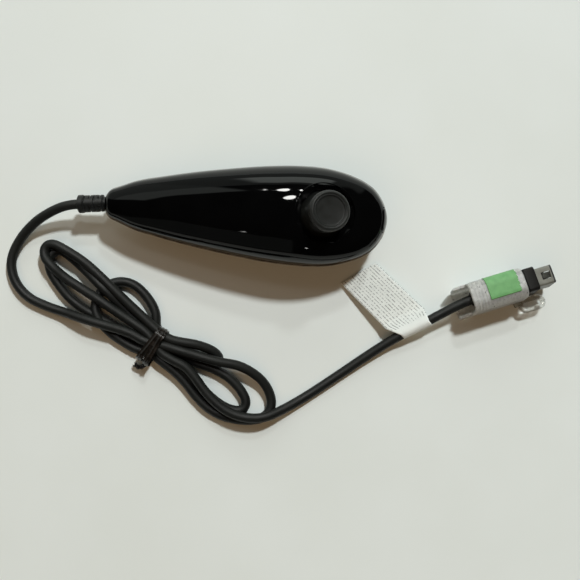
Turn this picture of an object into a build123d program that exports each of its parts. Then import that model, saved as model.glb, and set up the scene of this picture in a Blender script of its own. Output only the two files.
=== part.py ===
"""One-handed motion game controller with its tied cord, paper tag and guarded plug.

The shells are lofted along the body from a short table of stations. Everything
inside is placed on two sets of planes: the deck, which is the seam between the
shells, and the stick planes, which lean forward round the stick's pivot.
Lengths are in millimetres and angles in degrees.
"""
import math
import os

from build123d import *

os.makedirs("parts", exist_ok=True)

# Body
shell_length = 112.0
shell_half_width = 19.4
crown_height = 15.6
belly_depth = 15.0
shell_wall = 1.8
seam_lip = 0.35
seam_tilt = 3.0
rest_flat_depth = 0.5
total_height = 37.5
upper_fullness = 2.3
lower_fullness = 1.9

# Stations along the body: share of length, of half width, of crown and of belly
stations = [
    (0.000, 0.230, 0.27, 0.28),
    (0.044, 0.315, 0.38, 0.37),
    (0.110, 0.480, 0.50, 0.50),
    (0.195, 0.600, 0.62, 0.63),
    (0.320, 0.745, 0.76, 0.79),
    (0.450, 0.865, 0.88, 0.92),
    (0.580, 0.960, 0.965, 0.99),
    (0.690, 1.000, 1.00, 1.00),
    (0.800, 0.965, 0.85, 0.965),
    (0.880, 0.840, 0.68, 0.90),
    (0.925, 0.720, 0.60, 0.85),
    (0.955, 0.590, 0.53, 0.79),
    (0.980, 0.400, 0.43, 0.70),
    (1.000, 0.170, 0.25, 0.45),
]

# Stick
stick_along = 86.0
stick_lean = 12.0
cap_radius = 7.8
cap_height = 4.5
cap_top = 15.5
cap_dish_radius = 5.8
cap_dish_depth = 0.7
cap_dish_sink = 0.3
cap_edge_draft = 0.9
dome_radius = 9.8
dome_wall = 0.9
dome_skirt = 1.2
dome_neck_radius = 2.8
lever_radius = 1.3
lever_tip_radius = 0.7
gate_level = 7.2
gate_recess_radius = 11.6
gate_top_radius = 11.0
gate_hole_radius = 8.9
gate_depth = 2.2
gate_collar_radius = 12.6
housing_half = 6.2
housing_wall = 0.9
housing_top = 2.0
housing_corner = 2.5
yoke_half = 3.4
yoke_wall = 1.0
yoke_half_height = 1.1
gimbal_pin_radius = 0.75
lever_pin_radius = 0.5
rocker_inside = 4.1
rocker_thick = 0.8
rocker_half_width = 1.6
rocker_slot_half = 2.3
rocker_slot_gap = 0.2
pot_depth = 2.0
pot_width = 4.0
pot_rise = 1.6
spring_radius = 3.0
spring_wire = 0.3
spring_turns = 3
spring_plate_radius = 4.2
spring_plate_thick = 0.6
running_clearance = 0.05

# Boards and their parts
board_level = -9.0
board_thick = 1.2
board_back = 32.0
board_front = 9.0
board_half_width = 11.0
post_radius = 2.2
post_rows = [(-28.0, 7.0), (-13.0, 8.0)]
board_screw_radius = 0.8
board_screw_length = 5.0
board_screw_head = 1.6
sensor_size = (5.0, 5.0, 1.6)
sensor_at = (-18.5, -3.5)
chip_size = (7.0, 7.0, 1.2)
chip_at = (-21.5, 3.6)
header_size = (5.0, 8.0, 4.0)
header_at = -29.2
housing_plug_size = (3.4, 7.2, 3.2)

# Shell fastening
shell_screws_along = (26.0, 44.0)
screw_radius = 1.0
screw_head_radius = 2.4
screw_head_height = 1.6
screw_seat = 6.0
screw_length = 12.0
boss_radius = 2.8
seat_boss_radius = 4.3

# Buttons on the nose
button_proud = 0.5
button_clearance = 0.3
c_width = 9.6
c_height = 5.0
c_level = 3.5
c_back = 106.5
c_ear_half = 6.0
c_ear_height = 2.0
c_ear_thick = 1.0
c_travel = 0.9
tail_cut = 1.0
cut_past = 3
z_width = 12.6
z_height = 8.6
z_corner = 2.6
z_level = -6.0
z_back = 106.0
z_plunger_level = -8.0
z_plunger_back = 105.65
z_plunger_radius = 1.5
z_plunger_root = 0.5
z_swing_room = 2.0
z_swing_drop = 0.5
z_pin_along = 106.0
z_pin_level = -2.2
z_pin_radius = 0.8
z_barrel_radius = 1.5
z_barrel_half = 4.2
z_spring_wire = 0.2
z_coil_turns = 3
bracket_back = 101.0
bracket_thick = 1.4
bracket_half_width = 7.9
bracket_top = 5.5
bracket_bottom = -10.8
bracket_foot_half = 3.0
bracket_ear_inner = 6.5
bracket_ear_thick = 1.2
bracket_ear_front = 107.3
bracket_ear_half_height = 2.0
button_board_thick = 1.0
membrane_thick = 0.8
c_dome_top = 105.4
z_dome_top = 104.9
dome_pad_radius = 2.4
dome_pad_taper = 15.0

# Cord, strain relief and tie
cord_radius = 1.95
relief_radius = 3.4
relief_length = 10.6
relief_turn = 6.0
relief_neck_radius = 2.4
relief_groove = 0.9
relief_groove_depth = 0.7
relief_grooves = 4
relief_groove_pitch = 2.0
relief_collar_along = 2.2
relief_collar_extra = 0.25
relief_rib_back = 6.0
relief_rib_thick = 1.4
relief_flange_radius = 3.2
relief_flange_thick = 1.5
wire_radius = 1.1
wire_lead_out = 2.5
wire_bend_along = 47.2
wire_bend_side = -6.8
wire_bend_level = 5.0
wire_lead_in = 8.0
wire_pass_back = 2.0
wire_pass_gap = 0.5

tie_centre = (-28.2, -55.4)
tie_turn = -31.0
tie_width = 5.0
tie_wall = 0.7
tie_clearance = 0.15
waist_half_width = 7.3
waist_bottom = 1.1
waist_top = 7.6
waist_corner = 2.4
hank_height = 7.9
tie_tail_length = 8.5
tie_tail_radius = 1.0
tie_tail_level = 1.4

# Plug in its guard
plug_at = (120.1, -19.2)
plug_turn = 21.0
plug_roll = 9.0
flange_length = 4.4
flange_width = 9.6
flange_height = 14.4
flange_corner = 1.2
plug_body_length = 17.5
plug_body_width = 9.2
plug_body_height = 12.6
plug_body_corner = 2.0
boot_length = 4.0
boot_radius = 2.9
tip_length = 7.0
tip_width = 7.4
tip_height = 11.6
tip_corner = 1.0
tip_wall = 0.9
tip_floor = 1.0
window_length = 3.6
window_width = 3.0
tongue_thick = 1.8
contact_count = 3
contact_pitch = 2.4
contact_width = 1.1
contact_thick = 0.25
latch_width = 2.4
latch_thick = 0.8
latch_root = 3.0
latch_gap = 0.15
latch_swing = 0.6
latch_hook_gap = 0.4
window_from = 2.9
guard_length = 22.4
guard_tray_extra = 5.0
guard_tray_level = -1.0
guard_width = 12.6
guard_height = 15.4
guard_wall = 1.2
guard_top_corner = 4.4
guard_bottom_corner = 3.0
loop_length = 12.4
loop_width = 6.0
loop_hole_length = 6.4
loop_hole_width = 2.4
loop_thick = 2.6
loop_along = 0.4
loop_rise = 0.6
label_length = 10.8
label_from = -17.8
label_thick = 0.12
label_side = 3.4
label_drop = 5.2

# Paper tag folded round the cord
tag_width = 14.6
tag_turn = 139.0
tag_length = 33.0
tag_paper = 0.3
tag_far_height = 0.35
tag_join = 5.5
tag_clearance = 0.3
tag_corner = 6
tag_from = 1.0

# Route of the cord where it lies free: from the relief to the hank, and on to the plug
lead_first_run = 4.6
lead_route = [
    (-73.0, -4.6, 8.5),
    (-80.4, -9.4, 5.6),
    (-86.6, -16.6, 3.0),
    (-89.9, -25.2, 2.0),
    (-87.6, -33.4, 2.0),
    (-81.6, -39.8, 2.0),
    (-72.8, -43.0, 2.1),
    (-63.4, -45.4, 2.4),
    (-55.6, -46.9, 3.2),
]
run_last_run = 5.5
run_route = [
    (19.4, -81.9, 3.9),
    (26.4, -77.6, 3.2),
    (33.6, -72.6, 2.3),
    (42.0, -66.3, 2.0),
    (50.6, -59.6, 2.1),
    (59.6, -52.4, 2.9),
    (69.2, -45.2, 4.4),
    (79.6, -38.8, 6.3),
    (87.4, -33.6, 7.3),
]
cord_arc_share = 0.45

# Outer outline of the tied hank, seen from above
hank_outline = [
    (-24.0, -47.6), (-29.0, -40.6), (-36.4, -31.9), (-44.0, -28.2), (-51.0, -26.3),
    (-58.4, -20.9), (-66.0, -18.6), (-74.0, -16.9), (-77.2, -20.6), (-74.2, -28.4),
    (-70.4, -35.2), (-64.4, -41.2), (-55.0, -47.4), (-44.0, -50.4), (-36.0, -54.6),
    (-29.6, -60.2), (-21.4, -66.4), (-14.2, -74.6), (-6.6, -83.2), (3.4, -86.8),
    (14.0, -86.0), (21.6, -81.4), (23.0, -72.6), (17.6, -64.4), (8.0, -59.2),
    (1.4, -57.2), (-5.6, -53.2), (-14.6, -51.9),
]

# Frames worked out from the sizes above
east = Vector(1, 0, 0)
north = Vector(0, 1, 0)
up = Vector(0, 0, 1)
tilt_cos = math.cos(math.radians(seam_tilt))
tilt_sin = math.sin(math.radians(seam_tilt))
deck_along = Vector(tilt_cos, 0, tilt_sin)
deck_up = Vector(-tilt_sin, 0, tilt_cos)
lowest = min(s * shell_length * tilt_sin - b * belly_depth * tilt_cos for s, _, _, b in stations)
tail_z = -lowest - rest_flat_depth
nose_drop = stations[-1][3] * belly_depth
relief_reach = relief_length * math.cos(math.radians(relief_turn))
relief_spread = relief_radius + relief_collar_extra
back_x = -relief_reach * tilt_cos - relief_spread * math.hypot(tilt_sin, math.sin(math.radians(relief_turn)))
front_x = (shell_length + button_proud) * tilt_cos + nose_drop * tilt_sin
tail_x = -(back_x + front_x) / 2
tail_point = Vector(tail_x, 0, tail_z)


def on_deck(along, across=0.0, above=0.0):
    """Point given by its distance from the tail, its side and its height over the seam."""
    return tail_point + deck_along * along + north * across + deck_up * above


def station_plane(along):
    """Plane square to the body, with local x to the left side and local y up."""
    return Plane(origin=on_deck(along), x_dir=north, z_dir=deck_along)


def deck_plane(above=0.0):
    """Plane parallel to the seam, with local x along the body from the tail."""
    return Plane(origin=on_deck(0, 0, above), x_dir=deck_along, z_dir=deck_up)


relief_along = deck_along.rotate(Axis((0, 0, 0), (0, 0, 1)), relief_turn)


def relief_plane(along=0.0):
    """Plane square to the strain relief, at a distance in front of the tail."""
    return Plane(origin=tail_point + relief_along * along, x_dir=deck_up, z_dir=relief_along)


side_plane = Plane(origin=tail_point, x_dir=deck_along, z_dir=-north)
floor_plane = Plane.XY

lean_cos = math.cos(math.radians(stick_lean))
lean_sin = math.sin(math.radians(stick_lean))
stick_up = Vector(lean_sin, 0, lean_cos)
stick_forward = Vector(lean_cos, 0, -lean_sin)
cap_ring_radius = (cap_radius + cap_dish_radius) / 2
pivot_z = total_height - cap_top * lean_cos - cap_ring_radius * lean_sin
pivot = Vector(on_deck(stick_along).X, 0, pivot_z)


def stick_point(forward, across, height):
    """Point given in the stick's own frame, measured from its pivot."""
    return pivot + stick_forward * forward + north * across + stick_up * height


def stick_plane(height=0.0):
    """Plane square to the stick, with local x forward."""
    return Plane(origin=stick_point(0, 0, height), x_dir=stick_forward, z_dir=stick_up)


stick_side = Plane(origin=pivot, x_dir=stick_forward, z_dir=-north)
stick_front = Plane(origin=pivot, x_dir=north, z_dir=stick_forward)

turn = math.radians(plug_turn)
roll = math.radians(plug_roll)
plug_axis = Vector(math.cos(turn), math.sin(turn), 0)
plug_level = Vector(-math.sin(turn), math.cos(turn), 0)
plug_side = plug_level * math.cos(roll) - up * math.sin(roll)
plug_up = plug_level * math.sin(roll) + up * math.cos(roll)
guard_half_width = guard_width / 2
guard_half_height = guard_height / 2
plug_z = (
    (guard_half_height - guard_bottom_corner) * math.cos(roll)
    + (guard_half_width - guard_bottom_corner) * math.sin(roll)
    + guard_bottom_corner
)
plug_origin = Vector(plug_at[0], plug_at[1], plug_z)
flange_back = -flange_length / 2
flange_front = flange_length / 2
guard_back = flange_back - guard_length
boot_back = flange_back - plug_body_length - boot_length
tip_front = flange_front + tip_length


def plug_point(along, side=0.0, height=0.0):
    """Point given along, beside and above the plug's axis."""
    return plug_origin + plug_axis * along + plug_side * side + plug_up * height


def plug_plane(along=0.0):
    """Plane square to the plug's axis, with local x to its left and local y up."""
    return Plane(origin=plug_point(along), x_dir=plug_side, z_dir=plug_axis)


def plug_top_plane(height=0.0):
    """Plane parallel to the plug's top face, with local x along its axis."""
    return Plane(origin=plug_point(0, 0, height), x_dir=plug_axis, z_dir=plug_up)


def oval_points(half_width, height, fullness, side):
    """Points of half a superellipse from the left end of the seam to the right, over or under it."""
    points = []
    for step in range(9):
        angle = math.pi * step / 8
        reach = math.copysign(abs(math.cos(angle)) ** (2 / fullness), math.cos(angle))
        points.append((half_width * reach, side * height * math.sin(angle) ** (2 / fullness)))
    return points


def half_body(side, inset=0.0, forward=0.0, lip=0.0):
    """Upper (side 1) or lower (side -1) half of the body's form, drawn in by the inset."""
    fullness = upper_fullness if side > 0 else lower_fullness
    span = shell_length - 2 * inset
    with BuildPart() as half:
        for share, width, crown, belly in stations:
            rise = crown * crown_height if side > 0 else belly * belly_depth
            reach = width * shell_half_width + lip - inset
            points = oval_points(reach, rise - inset, fullness, side)
            with BuildSketch(station_plane(inset + share * span + forward)):
                with BuildLine():
                    Spline(*points, tangents=((0, side), (0, -side)))
                    Line(points[-1], points[0])
                make_face()
        loft()
    return half.part


upper_form = half_body(1)
lower_form = half_body(-1, lip=seam_lip)
upper_hollow = half_body(1, shell_wall)
lower_hollow = half_body(-1, shell_wall, lip=seam_lip)
upper_proud = half_body(1, forward=button_proud)
lower_proud = half_body(-1, forward=button_proud)
upper_room = half_body(1, shell_wall + button_clearance)
lower_room = half_body(-1, shell_wall + button_clearance)

# Inner parts of the upper shell: screw bosses, board posts, gate collar and tail rib
with BuildPart() as upper_ribs:
    with BuildSketch(deck_plane()):
        with Locations(*[(along, 0) for along in shell_screws_along]):
            Circle(boss_radius)
    extrude(amount=crown_height)
    with BuildSketch(stick_plane(board_level)):
        for x, y in post_rows:
            with Locations((x, y), (x, -y)):
                Circle(post_radius)
    extrude(amount=total_height)
    with BuildSketch(stick_plane(gate_level - gate_depth)):
        Circle(gate_collar_radius)
        Circle(gate_hole_radius, mode=Mode.SUBTRACT)
    extrude(amount=gate_depth)
    with BuildSketch(station_plane(relief_rib_back)):
        Circle(shell_half_width)
    extrude(amount=relief_rib_thick)
    add(upper_form, mode=Mode.INTERSECT)

with BuildPart() as top_shell:
    add(upper_form)
    add(upper_hollow, mode=Mode.SUBTRACT)
    add(upper_ribs.part)
    # Pilot holes for the shell screws and the board screws
    with BuildSketch(deck_plane()):
        with Locations(*[(along, 0) for along in shell_screws_along]):
            Circle(screw_radius)
    extrude(amount=screw_length - screw_seat, mode=Mode.SUBTRACT)
    with BuildSketch(stick_plane(board_level)):
        for x, y in post_rows:
            with Locations((x, y), (x, -y)):
                Circle(board_screw_radius)
    extrude(amount=board_screw_length, mode=Mode.SUBTRACT)
    # Octagonal gate: a level recess, then a bevel down to the hole round the dome
    with BuildSketch(stick_plane(gate_level)):
        Circle(gate_recess_radius)
    extrude(amount=crown_height, mode=Mode.SUBTRACT)
    with BuildSketch(stick_plane(gate_level - gate_depth)):
        RegularPolygon(gate_hole_radius, 8, major_radius=False)
    with BuildSketch(stick_plane(gate_level)):
        RegularPolygon(gate_top_radius, 8, major_radius=False)
    loft(mode=Mode.SUBTRACT)
    # Openings for the smaller button and for the strain relief
    with BuildSketch(station_plane(c_back - c_travel - button_clearance)):
        with Locations((0, c_level)):
            SlotOverall(c_width + 2 * button_clearance, c_height + 2 * button_clearance)
    extrude(amount=shell_length, mode=Mode.SUBTRACT)
    with BuildSketch(station_plane(-tail_cut)):
        Circle(relief_neck_radius + button_clearance / 2)
    extrude(amount=relief_rib_back + relief_rib_thick + tail_cut, mode=Mode.SUBTRACT)

with BuildPart() as lower_ribs:
    with BuildSketch(deck_plane()):
        with Locations(*[(along, 0) for along in shell_screws_along]):
            Circle(seat_boss_radius)
    extrude(amount=-belly_depth)
    with BuildSketch(station_plane(relief_rib_back)):
        Circle(shell_half_width)
    extrude(amount=relief_rib_thick)
    add(lower_form, mode=Mode.INTERSECT)

with BuildPart() as bottom_shell:
    add(lower_form)
    add(lower_hollow, mode=Mode.SUBTRACT)
    add(lower_ribs.part)
    with BuildSketch(deck_plane()):
        with Locations(*[(along, 0) for along in shell_screws_along]):
            Circle(screw_radius + running_clearance)
    extrude(amount=-2 * belly_depth, mode=Mode.SUBTRACT)
    with BuildSketch(deck_plane(-screw_seat)):
        with Locations(*[(along, 0) for along in shell_screws_along]):
            Circle(screw_head_radius + button_clearance)
    extrude(amount=-2 * belly_depth, mode=Mode.SUBTRACT)
    with BuildSketch(station_plane(z_back - z_swing_room)):
        with Locations((0, z_level - z_swing_drop / 2)):
            RectangleRounded(
                z_width + 2 * button_clearance,
                z_height + z_swing_drop + 2 * button_clearance,
                z_corner + button_clearance,
            )
    extrude(amount=shell_length, mode=Mode.SUBTRACT)
    with BuildSketch(station_plane(-tail_cut)):
        Circle(relief_neck_radius + button_clearance / 2)
    extrude(amount=relief_rib_back + relief_rib_thick + tail_cut, mode=Mode.SUBTRACT)
    # Small flat that the controller rests on
    with BuildSketch(floor_plane):
        Rectangle(cut_past * shell_length, cut_past * shell_half_width)
    extrude(amount=-belly_depth, mode=Mode.SUBTRACT)

with BuildPart() as shell_screws:
    with BuildSketch(deck_plane(-screw_seat)):
        with Locations(*[(along, 0) for along in shell_screws_along]):
            Circle(screw_radius)
    extrude(amount=screw_length - running_clearance)
    with BuildSketch(deck_plane(-screw_seat)):
        with Locations(*[(along, 0) for along in shell_screws_along]):
            Circle(screw_head_radius)
    extrude(amount=-screw_head_height)
    with BuildSketch(deck_plane(-screw_seat - screw_head_height)):
        with Locations(*[(along, 0) for along in shell_screws_along]):
            RegularPolygon(screw_radius, 3)
    extrude(amount=screw_head_height / 2, mode=Mode.SUBTRACT)

# Ribbed strain relief, held by a flange behind the tail rib
relief_flange_back = relief_rib_back + relief_rib_thick + running_clearance
relief_gap = relief_radius * math.sin(math.radians(relief_turn)) + running_clearance
with BuildPart() as strain_relief:
    with BuildSketch(relief_plane(-relief_length)):
        Circle(relief_radius)
    extrude(amount=relief_length - relief_gap)
    with BuildSketch(relief_plane(-relief_length)):
        Circle(relief_radius + relief_collar_extra)
    extrude(amount=relief_collar_along)
    for groove in range(relief_grooves):
        groove_back = -relief_length + relief_collar_along + groove * relief_groove_pitch
        with BuildSketch(relief_plane(groove_back)):
            Circle(relief_radius + relief_groove)
            Circle(relief_radius - relief_groove_depth, mode=Mode.SUBTRACT)
        extrude(amount=relief_groove, mode=Mode.SUBTRACT)
    with BuildSketch(station_plane(-relief_gap - relief_groove)):
        Circle(relief_neck_radius)
    extrude(amount=relief_gap + relief_groove + relief_flange_back)
    with BuildSketch(station_plane(relief_flange_back)):
        Circle(relief_flange_radius)
    extrude(amount=relief_flange_thick)

# Buttons on the nose, each with what keeps it in its shell
with BuildPart() as c_ears:
    with BuildSketch(station_plane(c_back)):
        with Locations((0, c_level)):
            RectangleRounded(2 * c_ear_half, c_ear_height, c_ear_height / 4)
    extrude(amount=c_ear_thick)
    add(upper_room, mode=Mode.INTERSECT)

with BuildPart() as c_button:
    with BuildSketch(station_plane(c_back)):
        with Locations((0, c_level)):
            SlotOverall(c_width, c_height)
    extrude(amount=shell_length)
    add(upper_proud, mode=Mode.INTERSECT)
    add(c_ears.part)

with BuildPart() as z_button:
    with BuildSketch(station_plane(z_back)):
        with Locations((0, z_level)):
            RectangleRounded(z_width, z_height, z_corner)
    extrude(amount=shell_length)
    add(lower_proud, mode=Mode.INTERSECT)
    with BuildSketch(station_plane(z_plunger_back)):
        with Locations((0, z_plunger_level)):
            Circle(z_plunger_radius)
    extrude(amount=z_back - z_plunger_back + z_plunger_root)
    # Pocket round the hinge, then the barrel that turns on the pin
    with BuildSketch(side_plane):
        with Locations((z_pin_along, z_pin_level)):
            Circle(z_barrel_radius + button_clearance)
    extrude(amount=bracket_half_width, both=True, mode=Mode.SUBTRACT)
    with BuildSketch(side_plane):
        with Locations((z_pin_along, z_pin_level)):
            Circle(z_barrel_radius)
        with Locations((z_pin_along + z_barrel_radius, z_pin_level - z_barrel_radius / 2)):
            Rectangle(2 * z_barrel_radius, z_barrel_radius)
    extrude(amount=z_barrel_half, both=True)
    with BuildSketch(side_plane):
        with Locations((z_pin_along, z_pin_level)):
            Circle(z_pin_radius + running_clearance)
    extrude(amount=bracket_half_width, both=True, mode=Mode.SUBTRACT)

bracket_ear_outer = bracket_ear_inner + bracket_ear_thick
with BuildPart() as z_hinge_pin:
    with BuildSketch(side_plane):
        with Locations((z_pin_along, z_pin_level)):
            Circle(z_pin_radius)
    extrude(amount=bracket_ear_outer, both=True)

# Torsion spring on the pin, between the barrel and one ear of the bracket
spring_room = bracket_ear_inner - z_barrel_half
z_coil_radius = z_pin_radius + z_spring_wire + 2 * running_clearance
z_coil_pitch = 2 * z_spring_wire + running_clearance
z_coil_length = z_coil_turns * z_coil_pitch
z_coil_plane = Plane(
    origin=on_deck(z_pin_along, z_barrel_half + (spring_room - z_coil_length) / 2, z_pin_level),
    x_dir=deck_along,
    z_dir=north,
)
with BuildPart() as z_spring:
    with BuildLine(z_coil_plane) as z_coil:
        Helix(z_coil_pitch, z_coil_length, z_coil_radius, direction=north)
    with BuildSketch(z_coil.line ^ 0):
        Circle(z_spring_wire)
    sweep()

with BuildPart() as bracket_room:
    add(upper_room)
    add(lower_room)

with BuildPart() as button_bracket:
    with BuildSketch(station_plane(bracket_back)):
        with BuildLine():
            Polyline(
                (-bracket_half_width, bracket_top),
                (bracket_half_width, bracket_top),
                (bracket_half_width, z_pin_level - 2 * bracket_ear_half_height),
                (bracket_foot_half, bracket_bottom),
                (-bracket_foot_half, bracket_bottom),
                (-bracket_half_width, z_pin_level - 2 * bracket_ear_half_height),
                close=True,
            )
        make_face()
    extrude(amount=bracket_thick)
    with BuildSketch(station_plane(bracket_back)):
        for side in (-1, 1):
            with Locations((side * (bracket_ear_inner + bracket_ear_thick / 2), z_pin_level)):
                Rectangle(bracket_ear_thick, 2 * bracket_ear_half_height)
    extrude(amount=bracket_ear_front - bracket_back)
    add(bracket_room.part, mode=Mode.INTERSECT)
    with BuildSketch(side_plane):
        with Locations((z_pin_along, z_pin_level)):
            Circle(z_pin_radius + running_clearance / 2)
    extrude(amount=bracket_half_width, both=True, mode=Mode.SUBTRACT)

button_board_back = bracket_back + bracket_thick + running_clearance
membrane_back = button_board_back + button_board_thick + running_clearance
with BuildPart() as button_board:
    with BuildSketch(station_plane(button_board_back)):
        with Locations((0, (bracket_top + bracket_bottom) / 2 + 1)):
            Rectangle(2 * bracket_foot_half + 4, bracket_top - bracket_bottom - 2)
    extrude(amount=button_board_thick)

with BuildPart() as button_membrane:
    with BuildSketch(station_plane(membrane_back)):
        with Locations((0, (bracket_top + bracket_bottom) / 2 + 1)):
            RectangleRounded(2 * bracket_foot_half + 3, bracket_top - bracket_bottom - 3, 1)
    extrude(amount=membrane_thick)
    with BuildSketch(station_plane(membrane_back)):
        with Locations((0, c_level)):
            Circle(dome_pad_radius)
    extrude(amount=c_dome_top - membrane_back, taper=dome_pad_taper)
    with BuildSketch(station_plane(membrane_back)):
        with Locations((0, z_plunger_level)):
            Circle(dome_pad_radius)
    extrude(amount=z_dome_top - membrane_back, taper=dome_pad_taper)

# Stick: cap, dome and lever move together on the yoke
with BuildPart() as stick_cap:
    with BuildSketch(stick_side):
        with BuildLine():
            Polyline(
                (lever_radius + running_clearance, cap_top - cap_height),
                (cap_radius - cap_edge_draft, cap_top - cap_height),
                (cap_radius, cap_top - cap_height / 2),
                (cap_radius, cap_top - cap_dish_depth),
            )
            ThreePointArc(
                (cap_radius, cap_top - cap_dish_depth),
                (cap_ring_radius, cap_top),
                (cap_dish_radius, cap_top - cap_dish_depth),
            )
            Polyline(
                (cap_dish_radius, cap_top - cap_dish_depth),
                (0, cap_top - cap_dish_depth - cap_dish_sink),
                (0, cap_top - cap_height / 2),
                (lever_radius + running_clearance, cap_top - cap_height / 2),
                (lever_radius + running_clearance, cap_top - cap_height),
            )
        make_face()
    revolve(axis=Axis(pivot, stick_up))

dome_inner = dome_radius - dome_wall
neck_foot = math.sqrt(dome_radius**2 - dome_neck_radius**2)
neck_bore = lever_radius + running_clearance
with BuildPart() as stick_dome:
    with BuildSketch(stick_side):
        with BuildLine():
            RadiusArc(
                (math.sqrt(dome_radius**2 - dome_skirt**2), dome_skirt),
                (dome_neck_radius, neck_foot),
                -dome_radius,
            )
            Polyline(
                (dome_neck_radius, neck_foot),
                (dome_neck_radius, cap_top - cap_height - running_clearance),
                (neck_bore, cap_top - cap_height - running_clearance),
                (neck_bore, math.sqrt(dome_inner**2 - neck_bore**2)),
            )
            RadiusArc(
                (neck_bore, math.sqrt(dome_inner**2 - neck_bore**2)),
                (math.sqrt(dome_inner**2 - dome_skirt**2), dome_skirt),
                dome_inner,
            )
            Line(
                (math.sqrt(dome_inner**2 - dome_skirt**2), dome_skirt),
                (math.sqrt(dome_radius**2 - dome_skirt**2), dome_skirt),
            )
        make_face()
    revolve(axis=Axis(pivot, stick_up))

yoke_inner = yoke_half - yoke_wall
housing_inner = housing_half - housing_wall
rocker_outside = rocker_inside + rocker_thick
lever_tip = -(rocker_outside + 0.5)
with BuildPart() as stick_lever:
    with BuildSketch(stick_plane(-yoke_inner)):
        Circle(lever_radius)
    extrude(amount=yoke_inner + cap_top - cap_height / 2 - 2 * running_clearance)
    with BuildSketch(stick_plane(lever_tip)):
        Circle(lever_tip_radius)
    extrude(amount=-lever_tip)
    with BuildSketch(stick_front):
        Circle(lever_pin_radius)
    extrude(amount=yoke_half, both=True)

with BuildPart() as gimbal_yoke:
    with BuildSketch(stick_plane(-yoke_half_height)):
        RectangleRounded(2 * yoke_half, 2 * yoke_half, yoke_wall / 2)
        Rectangle(2 * yoke_inner, 2 * yoke_inner, mode=Mode.SUBTRACT)
    extrude(amount=2 * yoke_half_height)
    with BuildSketch(Plane(origin=stick_point(0, yoke_inner, 0), x_dir=stick_forward, z_dir=north)):
        Circle(gimbal_pin_radius)
    extrude(amount=housing_half + pot_depth / 2 - yoke_inner)
    with BuildSketch(Plane(origin=stick_point(0, -yoke_inner, 0), x_dir=stick_forward, z_dir=-north)):
        Circle(gimbal_pin_radius)
    extrude(amount=housing_half - yoke_inner)
    with BuildSketch(stick_front):
        Circle(lever_pin_radius + running_clearance)
    extrude(amount=yoke_half, both=True, mode=Mode.SUBTRACT)

with BuildPart() as cross_rocker:
    with BuildSketch(stick_plane(-rocker_outside)):
        Rectangle(2 * rocker_outside, 2 * rocker_half_width)
        Rectangle(2 * rocker_slot_half, 2 * (lever_tip_radius + rocker_slot_gap), mode=Mode.SUBTRACT)
    extrude(amount=rocker_thick)
    for end in (-1, 1):
        with BuildSketch(stick_plane(-rocker_outside)):
            with Locations((end * (rocker_inside + rocker_thick / 2), 0)):
                Rectangle(rocker_thick, 2 * rocker_half_width)
        extrude(amount=rocker_outside + gimbal_pin_radius + 0.4)
    with BuildSketch(Plane(origin=stick_point(rocker_inside, 0, 0), x_dir=north, z_dir=stick_forward)):
        Circle(gimbal_pin_radius)
    extrude(amount=housing_half + pot_depth / 2 - rocker_inside)
    with BuildSketch(Plane(origin=stick_point(-rocker_inside, 0, 0), x_dir=north, z_dir=-stick_forward)):
        Circle(gimbal_pin_radius)
    extrude(amount=housing_half - rocker_inside)

with BuildPart() as stick_housing:
    with BuildSketch(stick_plane(board_level)):
        RectangleRounded(2 * housing_half, 2 * housing_half, housing_corner)
    extrude(amount=housing_top - board_level)
    with BuildSketch(stick_plane(board_level + housing_wall)):
        RectangleRounded(2 * housing_inner, 2 * housing_inner, housing_corner / 2)
    extrude(amount=housing_top - board_level, mode=Mode.SUBTRACT)
    with BuildSketch(stick_front):
        Circle(gimbal_pin_radius + running_clearance)
    extrude(amount=housing_half, both=True, mode=Mode.SUBTRACT)
    with BuildSketch(stick_side):
        Circle(gimbal_pin_radius + running_clearance)
    extrude(amount=housing_half, both=True, mode=Mode.SUBTRACT)

with BuildPart() as fore_aft_sensor:
    with BuildSketch(stick_plane(board_level)):
        with Locations((0, housing_half + pot_depth / 2)):
            Rectangle(pot_width, pot_depth)
    extrude(amount=pot_rise - board_level)
    with BuildSketch(stick_side):
        Circle(gimbal_pin_radius + running_clearance)
    extrude(amount=-(housing_half + pot_depth / 2 + running_clearance), mode=Mode.SUBTRACT)

with BuildPart() as side_to_side_sensor:
    with BuildSketch(stick_plane(board_level)):
        with Locations((housing_half + pot_depth / 2, 0)):
            Rectangle(pot_depth, pot_width)
    extrude(amount=pot_rise - board_level)
    with BuildSketch(stick_front):
        Circle(gimbal_pin_radius + running_clearance)
    extrude(amount=housing_half + pot_depth / 2 + running_clearance, mode=Mode.SUBTRACT)

# Return spring on the housing floor, pressing its plate up towards the lever's tip
spring_foot = board_level + housing_wall + spring_wire + running_clearance
plate_top = lever_tip - 2 * running_clearance
spring_height = plate_top - spring_plate_thick - spring_wire - running_clearance - spring_foot
with BuildPart() as stick_spring:
    with BuildLine(stick_plane(spring_foot)) as stick_coil:
        Helix(spring_height / spring_turns, spring_height, spring_radius, direction=stick_up)
    with BuildSketch(stick_coil.line ^ 0):
        Circle(spring_wire)
    sweep()

with BuildPart() as spring_plate:
    with BuildSketch(stick_plane(plate_top)):
        Circle(spring_plate_radius)
    extrude(amount=-spring_plate_thick)

# Main board and what it carries
board_bottom = board_level - board_thick
with BuildPart() as main_board:
    with BuildSketch(stick_plane(board_level)):
        with Locations(((board_front - board_back) / 2, 0)):
            RectangleRounded(board_front + board_back, 2 * board_half_width, post_radius)
        for x, y in post_rows:
            with Locations((x, y), (x, -y)):
                Circle(board_screw_radius + running_clearance, mode=Mode.SUBTRACT)
    extrude(amount=-board_thick)

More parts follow.
